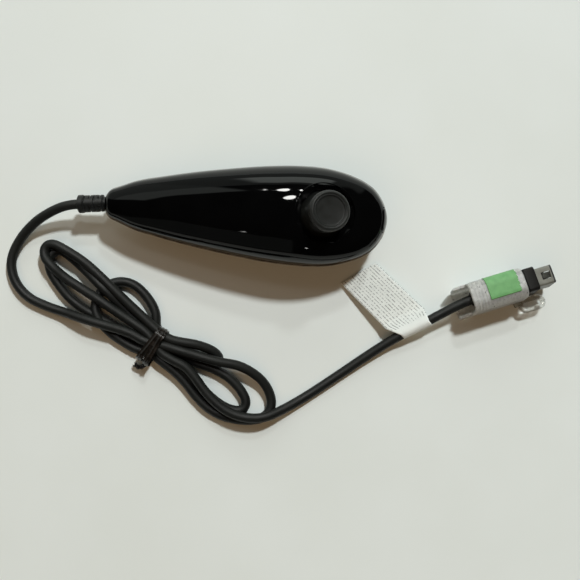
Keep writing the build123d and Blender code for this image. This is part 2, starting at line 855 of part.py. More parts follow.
with BuildPart() as board_screws:
    for x, y in post_rows:
        with BuildSketch(stick_plane(board_bottom)):
            with Locations((x, y), (x, -y)):
                Circle(board_screw_radius)
        extrude(amount=board_thick + board_screw_length - running_clearance)
        with BuildSketch(stick_plane(board_bottom)):
            with Locations((x, y), (x, -y)):
                Circle(board_screw_head)
        extrude(amount=-board_screw_radius)

with BuildPart() as motion_sensor:
    with BuildSketch(stick_plane(board_level)):
        with Locations(sensor_at):
            Rectangle(sensor_size[0], sensor_size[1])
    extrude(amount=sensor_size[2])

with BuildPart() as controller_chip:
    with BuildSketch(stick_plane(board_level)):
        with Locations(chip_at):
            Rectangle(chip_size[0], chip_size[1])
    extrude(amount=chip_size[2])

with BuildPart() as cable_header:
    with BuildSketch(stick_plane(board_level)):
        with Locations((header_at, 0)):
            Rectangle(header_size[0], header_size[1])
    extrude(amount=header_size[2])

housing_plug_at = header_at - header_size[0] / 2 - housing_plug_size[0] / 2
with BuildPart() as cable_housing:
    with BuildSketch(stick_plane(board_level + running_clearance)):
        with Locations((housing_plug_at, 0)):
            Rectangle(housing_plug_size[0], housing_plug_size[1])
    extrude(amount=housing_plug_size[2])


def corner_radii(points, share=cord_arc_share):
    """Largest tidy arc at each corner: a share of the shorter run, by the turn's half."""
    radii = []
    for before, corner, after in zip(points, points[1:], points[2:]):
        first = corner - before
        second = after - corner
        half_turn = math.radians(first.get_angle(second)) / 2
        radii.append(share * min(first.length, second.length) / math.tan(half_turn))
    return radii


def tube(points, radius):
    """Round tube along straight runs joined by tangent arcs."""
    with BuildPart() as piece:
        with BuildLine() as path:
            FilletPolyline(*points, radius=corner_radii(points))
        with BuildSketch(path.line ^ 0):
            Circle(radius)
        sweep()
    length = path.wires()[0].length
    slip = piece.part.volume / (math.pi * radius**2 * length) - 1
    radii = [round(r, 1) for r in corner_radii(points)]
    print(f"tube length {length:.1f}, volume off by {slip:.5f}, radii {radii}")
    return piece


wire_start = stick_point(
    housing_plug_at - housing_plug_size[0] / 2 - running_clearance,
    0,
    board_level + housing_plug_size[2] / 2,
)
wire_end = on_deck(relief_flange_back + relief_flange_thick, 0, 0)
wire_points = [
    wire_start,
    wire_start - stick_forward * wire_lead_out,
    on_deck(wire_bend_along, wire_bend_side, wire_bend_level),
    on_deck(
        shell_screws_along[0] - wire_pass_back,
        -seat_boss_radius - wire_radius - wire_pass_gap,
        wire_radius / 2,
    ),
    wire_end + deck_along * wire_lead_in,
    wire_end,
]
inner_wires = tube(wire_points, wire_radius)

# Free cord
lead_points = [
    tail_point - relief_along * relief_length,
    tail_point - relief_along * (relief_length + lead_first_run),
] + [Vector(*point) for point in lead_route]
run_points = [Vector(*point) for point in run_route] + [
    plug_point(boot_back - run_last_run),
    plug_point(boot_back),
]
cord_lead = tube(lead_points, cord_radius)
cord_run = tube(run_points, cord_radius)

# Tied hank: one closed form with a waist where the tie goes round it
tie_direction = Vector(math.cos(math.radians(tie_turn)), math.sin(math.radians(tie_turn)), 0)
tie_point = Vector(tie_centre[0], tie_centre[1], 0)
tie_across = Vector(-tie_direction.Y, tie_direction.X, 0)
tie_plane = Plane(
    origin=tie_point - tie_direction * (tie_width / 2),
    x_dir=tie_across,
    z_dir=tie_direction,
)
waist_mid = (waist_bottom + waist_top) / 2
waist_height = waist_top - waist_bottom
with BuildPart() as cord_hank:
    with BuildSketch(floor_plane):
        with BuildLine():
            Spline(*hank_outline, periodic=True)
        make_face()
    extrude(amount=hank_height)
    with BuildSketch(tie_plane):
        with Locations((0, hank_height / 2)):
            Rectangle(2 * cut_past * waist_half_width, 2 * hank_height)
        with Locations((0, waist_mid)):
            RectangleRounded(2 * waist_half_width, waist_height, waist_corner, mode=Mode.SUBTRACT)
    extrude(amount=tie_width, mode=Mode.SUBTRACT)

tie_inner = tie_clearance
tie_outer = tie_clearance + tie_wall
tie_tail_plane = Plane(
    origin=tie_point + up * tie_tail_level - tie_across * (waist_half_width + tie_inner),
    x_dir=up,
    z_dir=-tie_across,
)
with BuildPart() as twist_tie:
    with BuildSketch(tie_plane.offset(tie_clearance)):
        with Locations((0, waist_mid)):
            RectangleRounded(
                2 * (waist_half_width + tie_outer), waist_height + 2 * tie_outer, waist_corner + tie_outer
            )
            RectangleRounded(
                2 * (waist_half_width + tie_inner),
                waist_height + 2 * tie_inner,
                waist_corner + tie_inner,
                mode=Mode.SUBTRACT,
            )
    extrude(amount=tie_width - 2 * tie_clearance)
    # Twisted ends of the tie, pointing away on the near side
    with BuildSketch(tie_tail_plane):
        with Locations((0, tie_tail_radius), (0, -tie_tail_radius)):
            Circle(tie_tail_radius + running_clearance)
    extrude(amount=tie_tail_length)

# Plug, its latches and its contacts
with BuildPart() as plug_body:
    with BuildSketch(plug_plane(flange_back)):
        RectangleRounded(flange_width, flange_height, flange_corner)
    extrude(amount=flange_length)
    with BuildSketch(plug_plane(flange_back - plug_body_length)):
        RectangleRounded(plug_body_width, plug_body_height, plug_body_corner)
    extrude(amount=plug_body_length)
    with BuildSketch(plug_plane(boot_back)):
        Circle(boot_radius)
    extrude(amount=boot_length)
    # Slots that the latches lie in, above and below
    for side in (-1, 1):
        with BuildSketch(plug_top_plane(side * (tip_height / 2 - tip_wall))):
            with Locations((flange_front - latch_root, 0)):
                Rectangle(2 * latch_root, latch_width + 2 * latch_gap)
        extrude(amount=side * -(latch_thick + 2 * latch_gap), mode=Mode.SUBTRACT)

tip_inner_width = tip_width - 2 * tip_wall
tip_inner_height = tip_height - 2 * tip_wall
with BuildPart() as plug_tip:
    with BuildSketch(plug_plane(flange_front)):
        RectangleRounded(tip_width, tip_height, tip_corner)
        Rectangle(tip_inner_width, tip_inner_height, mode=Mode.SUBTRACT)
    extrude(amount=tip_length)
    with BuildSketch(plug_top_plane(-tip_height)):
        with Locations((tip_front - window_from, 0)):
            Rectangle(window_length, window_width)
    extrude(amount=2 * tip_height, mode=Mode.SUBTRACT)

tongue_height = tip_inner_height - 2 * (latch_thick + 2 * latch_gap + latch_swing)
with BuildPart() as plug_tongue:
    with BuildSketch(plug_plane(flange_front)):
        Rectangle(tongue_thick, tongue_height)
    extrude(amount=tip_length - tip_floor)

with BuildPart() as plug_contacts:
    for side in (-1, 1):
        with BuildSketch(plug_plane(flange_front)):
            with Locations((side * (tongue_thick + contact_thick) / 2, 0)):
                with GridLocations(0, contact_pitch, 1, contact_count):
                    Rectangle(contact_thick, contact_width)
        extrude(amount=tip_length - 2 * tip_floor)


def latch(side):
    """Spring latch lying inside one narrow wall of the tip, its hook in the window."""
    outer = tip_inner_height / 2 - latch_gap
    with BuildPart() as piece:
        with BuildSketch(plug_top_plane(side * outer)):
            with Locations(((flange_front - latch_root + tip_front - tip_floor) / 2 + latch_gap, 0)):
                Rectangle(tip_front - tip_floor - flange_front + latch_root - 2 * latch_gap, latch_width)
        extrude(amount=-side * latch_thick)
        with BuildSketch(plug_top_plane(side * (outer - latch_thick / 2))):
            with Locations((tip_front - window_from, 0)):
                Rectangle(window_length - 2 * latch_hook_gap, latch_width)
        extrude(amount=side * (latch_thick / 2 + latch_gap + tip_wall / 2))
    return piece


plug_latch_upper = latch(1)
plug_latch_lower = latch(-1)

# Clear guard: a cover over a longer tray, open at both ends, with a pull loop at its foot
with BuildPart() as plug_guard:
    with BuildSketch(plug_plane(guard_back)):
        with BuildLine():
            FilletPolyline(
                (0, guard_half_height),
                (guard_half_width, guard_half_height),
                (guard_half_width, -guard_half_height),
                (0, -guard_half_height),
                radius=[guard_top_corner, guard_bottom_corner],
            )
            mirror(about=Plane.YZ)
        make_face()
        RectangleRounded(
            guard_width - 2 * guard_wall,
            guard_height - 2 * guard_wall,
            guard_bottom_corner - guard_wall,
            mode=Mode.SUBTRACT,
        )
    extrude(amount=guard_length - button_clearance)
    with BuildSketch(plug_plane(guard_back - guard_tray_extra)):
        RectangleRounded(guard_width, guard_height, guard_bottom_corner)
        RectangleRounded(
            guard_width - 2 * guard_wall,
            guard_height - 2 * guard_wall,
            guard_bottom_corner - guard_wall,
            mode=Mode.SUBTRACT,
        )
        with Locations((0, guard_half_height)):
            Rectangle(guard_width, 2 * (guard_half_height - guard_tray_level), mode=Mode.SUBTRACT)
    extrude(amount=guard_tray_extra)
    with BuildSketch(plug_top_plane(-guard_half_height + loop_rise)):
        with Locations((loop_along, -guard_half_width - loop_width / 2 + guard_wall)):
            SlotOverall(loop_length, loop_width)
            SlotOverall(loop_hole_length, loop_hole_width, mode=Mode.SUBTRACT)
    extrude(amount=loop_thick)

with BuildPart() as guard_label:
    with BuildSketch(plug_plane(label_from)):
        with BuildLine():
            FilletPolyline(
                (-label_side, guard_half_height + label_thick),
                (guard_half_width + label_thick, guard_half_height + label_thick),
                (guard_half_width + label_thick, guard_half_height - label_drop),
                radius=guard_top_corner + label_thick,
            )
            Line(
                (guard_half_width + label_thick, guard_half_height - label_drop),
                (guard_half_width, guard_half_height - label_drop),
            )
            FilletPolyline(
                (guard_half_width, guard_half_height - label_drop),
                (guard_half_width, guard_half_height),
                (-label_side, guard_half_height),
                radius=guard_top_corner,
            )
            Line((-label_side, guard_half_height), (-label_side, guard_half_height + label_thick))
        make_face()
    extrude(amount=label_length)

# Paper tag: two layers that part round the cord and meet again beyond it
tag_angle = math.radians(tag_turn)
tag_out = Vector(math.cos(tag_angle), math.sin(tag_angle), 0)
tag_cord = Vector(*run_route[tag_corner])
tag_next = Vector(*run_route[tag_corner + 1])
tag_along_cord = (tag_next - tag_cord).normalized()
tag_start = tag_cord + tag_along_cord * tag_from
tag_plane = Plane(origin=tag_start, x_dir=tag_out, z_dir=tag_out.cross(up))
tag_ring = cord_radius + tag_clearance
tag_drop = tag_start.Z - tag_far_height
with BuildPart() as cord_tag:
    with BuildSketch(tag_plane):
        Circle(tag_ring + tag_paper)
        with BuildLine():
            Polyline(
                (0, tag_ring + tag_paper),
                (tag_join, tag_paper - tag_drop * tag_join / tag_length),
                (tag_length, tag_paper - tag_drop),
                (tag_length, -tag_paper - tag_drop),
                (tag_join, -tag_paper - tag_drop * tag_join / tag_length),
                (0, -tag_ring - tag_paper),
                close=True,
            )
        make_face()
        Circle(tag_ring, mode=Mode.SUBTRACT)
    extrude(amount=tag_width, dir=tag_along_cord)

pieces = {
    "top_shell": top_shell,
    "bottom_shell": bottom_shell,
    "shell_screws": shell_screws,
    "strain_relief": strain_relief,
    "c_button": c_button,
    "z_button": z_button,
    "z_hinge_pin": z_hinge_pin,
    "z_spring": z_spring,
    "button_bracket": button_bracket,
    "button_board": button_board,
    "button_membrane": button_membrane,
    "stick_cap": stick_cap,
    "stick_dome": stick_dome,
    "stick_lever": stick_lever,
    "gimbal_yoke": gimbal_yoke,
    "cross_rocker": cross_rocker,
    "stick_housing": stick_housing,
    "fore_aft_sensor": fore_aft_sensor,
    "side_to_side_sensor": side_to_side_sensor,
    "stick_spring": stick_spring,
    "spring_plate": spring_plate,
    "main_board": main_board,
    "board_screws": board_screws,
    "motion_sensor": motion_sensor,
    "controller_chip": controller_chip,
    "cable_header": cable_header,
    "cable_housing": cable_housing,
    "inner_wires": inner_wires,
    "cord_lead": cord_lead,
    "cord_hank": cord_hank,
    "cord_run": cord_run,
    "twist_tie": twist_tie,
    "cord_tag": cord_tag,
    "plug_body": plug_body,
    "plug_tip": plug_tip,
    "plug_tongue": plug_tongue,
    "plug_contacts": plug_contacts,
    "plug_latch_upper": plug_latch_upper,
    "plug_latch_lower": plug_latch_lower,
    "plug_guard": plug_guard,
    "guard_label": guard_label,
}
for name, piece in pieces.items():
    piece.part.label = name
    export_step(piece.part, f"parts/{name}.step")
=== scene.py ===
"""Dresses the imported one-handed motion controller: shells, stick, cord, tag and guarded plug."""

import logging
import math
from dataclasses import dataclass, field
from enum import Enum

import bmesh
import bpy
import numpy as np
from mathutils import Matrix, Vector


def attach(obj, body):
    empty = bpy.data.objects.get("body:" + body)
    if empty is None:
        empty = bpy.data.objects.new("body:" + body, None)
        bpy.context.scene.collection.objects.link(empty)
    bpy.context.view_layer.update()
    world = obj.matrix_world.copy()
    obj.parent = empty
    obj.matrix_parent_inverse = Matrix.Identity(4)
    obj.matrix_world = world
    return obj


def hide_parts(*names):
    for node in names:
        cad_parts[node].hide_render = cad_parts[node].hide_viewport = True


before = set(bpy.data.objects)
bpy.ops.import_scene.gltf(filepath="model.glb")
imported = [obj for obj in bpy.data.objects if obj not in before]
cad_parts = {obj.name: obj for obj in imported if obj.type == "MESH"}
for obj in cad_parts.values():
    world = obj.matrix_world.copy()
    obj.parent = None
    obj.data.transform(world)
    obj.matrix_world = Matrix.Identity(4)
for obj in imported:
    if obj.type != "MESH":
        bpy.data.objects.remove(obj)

MM = 0.001
UP = np.array([0.0, 0.0, 1.0])
END_POWER = 2.3
log = logging.getLogger("scene")
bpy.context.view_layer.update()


@dataclass(frozen=True)
class Axes:
    """Right-angled axes in millimetres, with x and z given and y square to both."""

    origin: np.ndarray
    x: np.ndarray
    z: np.ndarray

    @property
    def y(self) -> np.ndarray:
        """Second axis, the cross product of z and x."""
        return np.cross(self.z, self.x)

    def at(self, x: np.ndarray, y: np.ndarray, z: np.ndarray) -> np.ndarray:
        """World points for local coordinates.

        Args:
            x: Distances along the first axis.
            y: Distances along the second axis.
            z: Distances along the third axis.

        Returns:
            Points, one row of three for each place in the broadcast arrays.
        """
        x, y, z = np.broadcast_arrays(x, y, z)
        return self.origin + x[..., None] * self.x + y[..., None] * self.y + z[..., None] * self.z

    def local(self, points: np.ndarray) -> tuple[np.ndarray, np.ndarray, np.ndarray]:
        """Local coordinates of world points.

        Args:
            points: Array whose last axis holds x, y and z.

        Returns:
            Three arrays of distances along the axes.
        """
        offset = points - self.origin
        return offset @ self.x, offset @ self.y, offset @ self.z


def turned(degrees: float) -> tuple[float, float]:
    """Cosine and sine of an angle in degrees."""
    return math.cos(math.radians(degrees)), math.sin(math.radians(degrees))


def unit(vector: np.ndarray) -> np.ndarray:
    """The vectors of an array at length one."""
    return vector / np.linalg.norm(vector, axis=-1, keepdims=True)


def on_circle(angle: np.ndarray) -> np.ndarray:
    """Points (x, y) of the unit circle at the given angles."""
    return np.stack([np.cos(angle), np.sin(angle)], axis=-1)


def rounding(turn: np.ndarray) -> np.ndarray:
    """Share of the full section at a share t of a rounded end: (1 - (1 - t)^p)^(1/p)."""
    return (1 - (1 - turn) ** END_POWER) ** (1 / END_POWER)


TILT_COS, TILT_SIN = turned(3.0)
DECK = Axes(
    np.array([-50.8725, 0.0, 10.9299]),
    np.array([TILT_COS, 0.0, TILT_SIN]),
    np.array([-TILT_SIN, 0.0, TILT_COS]),
)
LEAN_COS, LEAN_SIN = turned(12.0)
STICK = Axes(
    np.array([35.0097, 0.0, 20.9249]),
    np.array([LEAN_COS, 0.0, -LEAN_SIN]),
    np.array([LEAN_SIN, 0.0, LEAN_COS]),
)
RELIEF_COS, RELIEF_SIN = turned(6.0)
RELIEF_X = np.array([TILT_COS * RELIEF_COS, TILT_COS * RELIEF_SIN, TILT_SIN])
RELIEF = Axes(DECK.origin, RELIEF_X, unit(UP - RELIEF_X * TILT_SIN))
PLUG_COS, PLUG_SIN = turned(21.0)
ROLL_COS, ROLL_SIN = turned(9.0)
PLUG_LEVEL = np.array([-PLUG_SIN, PLUG_COS, 0.0])
PLUG = Axes(
    np.array([120.1, -19.2, 8.1584]),
    np.array([PLUG_COS, PLUG_SIN, 0.0]),
    PLUG_LEVEL * ROLL_SIN + UP * ROLL_COS,
)
TIE_COS, TIE_SIN = turned(-31.0)
TIE = Axes(np.array([-28.2, -55.4, 0.0]), np.array([TIE_COS, TIE_SIN, 0.0]), UP)


def smooth_step(values: np.ndarray, start: float, end: float) -> np.ndarray:
    """Rises from 0 at start to 1 at end as 3t^2 - 2t^3."""
    t = np.clip((values - start) / (end - start), 0.0, 1.0)
    return t * t * (3.0 - 2.0 * t)


def through(places: np.ndarray, knots: np.ndarray, values: np.ndarray) -> np.ndarray:
    """Cubic Hermite curve through values at knots, each slope taken from its two neighbours.

    Args:
        places: Where the curve is read.
        knots: Rising places of the given values.
        values: Values at the knots, with any further axes after the first.

    Returns:
        The curve's values at the places.
    """
    places = np.clip(places, knots[0], knots[-1])
    slopes = np.gradient(values, knots, axis=0)
    left = np.clip(np.searchsorted(knots, places, side="right") - 1, 0, len(knots) - 2)
    span = knots[left + 1] - knots[left]
    t = (places - knots[left]) / span
    if values.ndim > 1:
        t, span = t[..., None], span[..., None]
    return (
        (2 * t**3 - 3 * t**2 + 1) * values[left]
        + (t**3 - 2 * t**2 + t) * span * slopes[left]
        + (3 * t**2 - 2 * t**3) * values[left + 1]
        + (t**3 - t**2) * span * slopes[left + 1]
    )


def skin(
    name: str,
    grid: np.ndarray,
    wrap_rows: bool = False,
    wrap_columns: bool = True,
    sharp: float = 40.0,
    uv: np.ndarray | None = None,
) -> bpy.types.Object:
    """Mesh of four-sided faces over a grid of points, with poles and seams merged.

    Args:
        name: Name of the new piece.
        grid: Points in millimetres, rows by columns by three.
        wrap_rows: Whether the last row joins the first.
        wrap_columns: Whether the last column joins the first.
        sharp: Angle in degrees above which an edge stays sharp.
        uv: Pattern coordinates for each grid point, or None.

    Returns:
        The new object, with its place in its mesh.
    """
    rows, columns = grid.shape[:2]
    row = np.arange(rows if wrap_rows else rows - 1)[:, None]
    column = np.arange(columns if wrap_columns else columns - 1)[None, :]
    next_row, next_column = (row + 1) % rows, (column + 1) % columns
    corners = [
        row * columns + column,
        row * columns + next_column,
        next_row * columns + next_column,
        next_row * columns + column,
    ]
    faces = np.stack([corner.ravel() for corner in corners], axis=1)
    mesh = bpy.data.meshes.new(name)
    mesh.from_pydata((grid.reshape(-1, 3) * MM).tolist(), [], faces.tolist())
    if uv is not None:
        layer = mesh.uv_layers.new(name="UVMap")
        layer.uv.foreach_set("vector", uv.reshape(-1, 2)[faces.ravel()].ravel())
    tidy(mesh, sharp)
    return placed(name, mesh)


def placed(name: str, data: bpy.types.ID) -> bpy.types.Object:
    """New object with the given data, linked to the scene."""
    piece = bpy.data.objects.new(name, data)
    bpy.context.scene.collection.objects.link(piece)
    return piece


def thicken(piece: bpy.types.Object, name: str, thickness: float) -> None:
    """Gives a sheet its thickness in millimetres, half on each side."""
    wall = piece.modifiers.new(name, "SOLIDIFY")
    wall.thickness = thickness * MM
    wall.offset = 0.0


def tidy(mesh: bpy.types.Mesh, sharp: float) -> None:
    """Merges doubled points, turns the faces outwards and shades the mesh smooth.

    Args:
        mesh: Mesh that is changed.
        sharp: Angle in degrees above which an edge stays sharp.
    """
    work = bmesh.new()
    work.from_mesh(mesh)
    bmesh.ops.remove_doubles(work, verts=work.verts, dist=2e-6)
    bmesh.ops.dissolve_degenerate(work, edges=work.edges, dist=1e-7)
    bmesh.ops.recalc_face_normals(work, faces=work.faces)
    work.to_mesh(mesh)
    work.free()
    mesh.shade_smooth()
    mesh.set_sharp_from_angle(angle=math.radians(sharp))


def lathe(
    name: str, axes: Axes, profile: np.ndarray, columns: int = 96, sharp: float = 40.0
) -> bpy.types.Object:
    """Turned piece: each profile point (radius, height) goes round the third axis.

    Args:
        name: Name of the new piece.
        axes: Axes whose third is the axis of turning.
        profile: Radius and height pairs in millimetres, from one pole to the other.
        columns: Number of points round the piece.
        sharp: Angle in degrees above which an edge stays sharp.

    Returns:
        The new object.
    """
    angle = np.linspace(0, 2 * np.pi, columns, endpoint=False)[None, :]
    radius, height = profile[:, :1], profile[:, 1:]
    grid = axes.at(radius * np.cos(angle), radius * np.sin(angle), height + 0 * angle)
    closed = profile[0, 0] > 0 and profile[-1, 0] > 0
    return skin(name, grid, wrap_rows=closed, sharp=sharp)


def corner_arcs(
    half_width: float, half_height: float, corners: tuple[float, ...], points: int
) -> list[np.ndarray]:
    """Quarter arcs of a rectangle's round corners, anticlockwise from the first quadrant.

    Args:
        half_width: Half of the rectangle's width.
        half_height: Half of its height.
        corners: Radius of each of the four corners.
        points: Number of points on each arc.

    Returns:
        Four arrays of points (x, y).
    """
    quarter = np.linspace(0, np.pi / 2, points)
    signs = ((1, 1), (-1, 1), (-1, -1), (1, -1))
    return [
        np.array([sx * (half_width - corner), sy * (half_height - corner)])
        + corner * on_circle(quarter + index * np.pi / 2)
        for index, ((sx, sy), corner) in enumerate(zip(signs, corners))
    ]


def rounded_outline(width: float, height: float, corner: float, points: int = 24) -> np.ndarray:
    """Outline of a rectangle with round corners, quarter arcs joined by straight sides.

    Args:
        width: Full width in millimetres.
        height: Full height in millimetres.
        corner: Corner radius in millimetres.
        points: Number of points on each corner arc.

    Returns:
        Outline points (x, y), anticlockwise, with two more on each straight side.
    """
    corner = min(corner, width / 2 - 1e-3, height / 2 - 1e-3)
    outline = np.concatenate(corner_arcs(width / 2, height / 2, (corner,) * 4, points))
    following = np.roll(outline, -1, axis=0)
    long = np.linalg.norm(following - outline, axis=1) > corner * 0.3 + 0.2
    thirds = np.array([[1 / 3], [2 / 3]])
    for index in np.flatnonzero(long)[::-1]:
        extra = outline[index] + thirds * (following[index] - outline[index])
        outline = np.insert(outline, index + 1, extra, axis=0)
    return outline


def edge_rows(half: float, edge: float, steps: int = 5) -> np.ndarray:
    """Rows of a bar along its length: (place, inset), with a quarter-round edge at both ends.

    Args:
        half: Half of the bar's length in millimetres.
        edge: Radius of the rounded end edges.
        steps: Points on each quarter-round.

    Returns:
        Rows from one end's middle to the other's: place along the bar, inset, share of width.
    """
    angle = np.linspace(0, np.pi / 2, steps)
    place = half - edge + edge * np.cos(angle)
    inset = edge - edge * np.sin(angle)
    start = np.stack([-place, inset, np.ones(steps)], axis=1)
    end = start[::-1] * np.array([-1.0, 1.0, 1.0])
    pole = np.array([[-half, edge, 0.0]])
    return np.concatenate([pole, start, end, pole * np.array([-1.0, 1.0, 1.0])])


def bar(
    name: str,
    axes: Axes,
    span: tuple[float, float],
    size: tuple[float, float],
    corner: float,
    edge: float,
    centre: tuple[float, float] = (0.0, 0.0),
) -> bpy.types.Object:
    """Bar along the first axis: a rounded rectangle between two places, its ends rounded over.

    Args:
        name: Name of the new piece.
        axes: Axes of the bar.
        span: Start and end along the first axis.
        size: Width along the second axis and height along the third.
        corner: Radius of the long corners.
        edge: Radius of the end edges.
        centre: Place of the bar's middle on the second and third axes.

    Returns:
        The new object.
    """
    rows = edge_rows((span[1] - span[0]) / 2, edge)
    middle = (span[0] + span[1]) / 2
    width, height = size
    outline = rounded_outline(width, height, corner)
    scale_y = rows[:, 2:3] * (1 - 2 * rows[:, 1:2] / width)
    scale_z = rows[:, 2:3] * (1 - 2 * rows[:, 1:2] / height)
    grid = axes.at(
        middle + rows[:, :1] + 0 * outline[None, :, 0],
        centre[0] + scale_y * outline[None, :, 0],
        centre[1] + scale_z * outline[None, :, 1],
    )
    return skin(name, grid)


def sweep(
    name: str,
    path: np.ndarray,
    across: np.ndarray,
    section: np.ndarray,
    closed: bool = False,
    twist: np.ndarray | None = None,
) -> bpy.types.Object:
    """Section carried along a path: each section point is laid off on the path's own two side axes.

    Args:
        name: Name of the new piece.
        path: Centre points in millimetres.
        across: Direction of the section's first axis, one for all points or one each.
        section: Closed outline (first, second) in millimetres.
        closed: Whether the path's end joins its start.
        twist: Turn of the section in radians at each path point, or None.

    Returns:
        The new object.
    """
    if closed:
        along = unit(np.roll(path, -1, axis=0) - np.roll(path, 1, axis=0))
    else:
        along = unit(np.gradient(path, axis=0))
    across = np.broadcast_to(across, path.shape)
    first = unit(across - np.sum(across * along, axis=1, keepdims=True) * along)
    second = np.cross(along, first)
    if twist is not None:
        cos, sin = np.cos(twist)[:, None], np.sin(twist)[:, None]
        first, second = cos * first + sin * second, cos * second - sin * first
    grid = (
        path[:, None]
        + section[None, :, :1] * first[:, None]
        + section[None, :, 1:] * second[:, None]
    )
    if not closed:
        start = np.broadcast_to(path[0], grid[:1].shape)
        end = np.broadcast_to(path[-1], grid[:1].shape)
        grid = np.concatenate([start, grid, end])
    return skin(name, grid, wrap_rows=closed)


def circle(radius: float, points: int = 16) -> np.ndarray:
    """Points (x, y) of a circle about the origin."""
    return radius * on_circle(np.linspace(0, 2 * np.pi, points, endpoint=False))


def carve(piece: bpy.types.Object, cutters: list[bpy.types.Object], sharp: float) -> None:
    """Takes the cutters' shapes out of a piece, then removes the cutters.

    Args:
        piece: Object whose mesh is replaced by the carved one.
        cutters: Closed objects that are taken away.
        sharp: Angle in degrees above which an edge stays sharp.
    """
    for cutter in cutters:
        opening = piece.modifiers.new(cutter.name, "BOOLEAN")
        opening.operation = "DIFFERENCE"
        opening.solver = "EXACT"
        opening.object = cutter
    bpy.context.view_layer.update()
    solid = piece.evaluated_get(bpy.context.evaluated_depsgraph_get())
    mesh = bpy.data.meshes.new_from_object(solid)
    piece.modifiers.clear()
    piece.data = mesh
    for cutter in cutters:
        bpy.data.objects.remove(cutter)
    tidy(mesh, sharp)


def linear(colour: str) -> tuple[float, float, float, float]:
    """Linear red, green, blue and alpha for an sRGB hex value."""
    channels = [int(colour[i : i + 2], 16) / 255 for i in (1, 3, 5)]
    values = [c / 12.92 if c <= 0.04045 else ((c + 0.055) / 1.055) ** 2.4 for c in channels]
    return (values[0], values[1], values[2], 1.0)


def add_node(
    tree: bpy.types.NodeTree, kind: str, settings: dict | None = None, inputs: dict | None = None
) -> bpy.types.Node:
    """Adds a shader node with its settings, values and links.

    Args:
        tree: Node tree that gets the node.
        kind: The node's type name.
        settings: Values of the node's own properties.
        inputs: Values, or sockets to link from, by input name or number.

    Returns:
        The new node.
    """
    node = tree.nodes.new(kind)
    for key, value in (settings or {}).items():
        setattr(node, key, value)
    for key, value in (inputs or {}).items():
        if isinstance(value, bpy.types.NodeSocket):
            tree.links.new(value, node.inputs[key])
        else:
            node.inputs[key].default_value = value
    return node


def maths(tree: bpy.types.NodeTree, operation: str, *values: object) -> bpy.types.NodeSocket:
    """Socket with the result of one operation on values or sockets."""
    settings = {"operation": operation}
    return add_node(tree, "ShaderNodeMath", settings, dict(enumerate(values))).outputs[0]


def noise(
    tree: bpy.types.NodeTree, place: bpy.types.NodeSocket, scale: float, detail: float
) -> bpy.types.NodeSocket:
    """Socket with noise at a place, of the given scale and number of finer layers."""
    inputs = {"Vector": place, "Scale": scale, "Detail": detail}
    return add_node(tree, "ShaderNodeTexNoise", inputs=inputs).outputs["Fac"]


def mapped(
    tree: bpy.types.NodeTree,
    value: bpy.types.NodeSocket,
    source: tuple[float, float],
    target: tuple[float, float] = (0.0, 1.0),
    smooth: bool = False,
) -> bpy.types.NodeSocket:
    """Socket with a value carried from one span to another.

    Args:
        tree: Node tree that gets the node.
        value: Socket that is mapped.
        source: Span that the value is read over.
        target: Span that it comes out on.
        smooth: Whether it follows a smooth step in place of a straight line.

    Returns:
        The socket that holds the result.
    """
    settings = {"interpolation_type": "SMOOTHSTEP" if smooth else "LINEAR"}
    spans = dict(zip(("From Min", "From Max", "To Min", "To Max"), (*source, *target)))
    node = add_node(tree, "ShaderNodeMapRange", settings, {"Value": value, **spans})
    return node.outputs["Result"]


def mixed(
    tree: bpy.types.NodeTree, share: bpy.types.NodeSocket, base: bpy.types.NodeSocket, colour: str
) -> bpy.types.NodeSocket:
    """Colour socket that turns from a base to an sRGB hex colour as the share rises to 1."""
    inputs = {0: share, 6: base, 7: linear(colour)}
    return add_node(tree, "ShaderNodeMix", {"data_type": "RGBA"}, inputs).outputs[2]


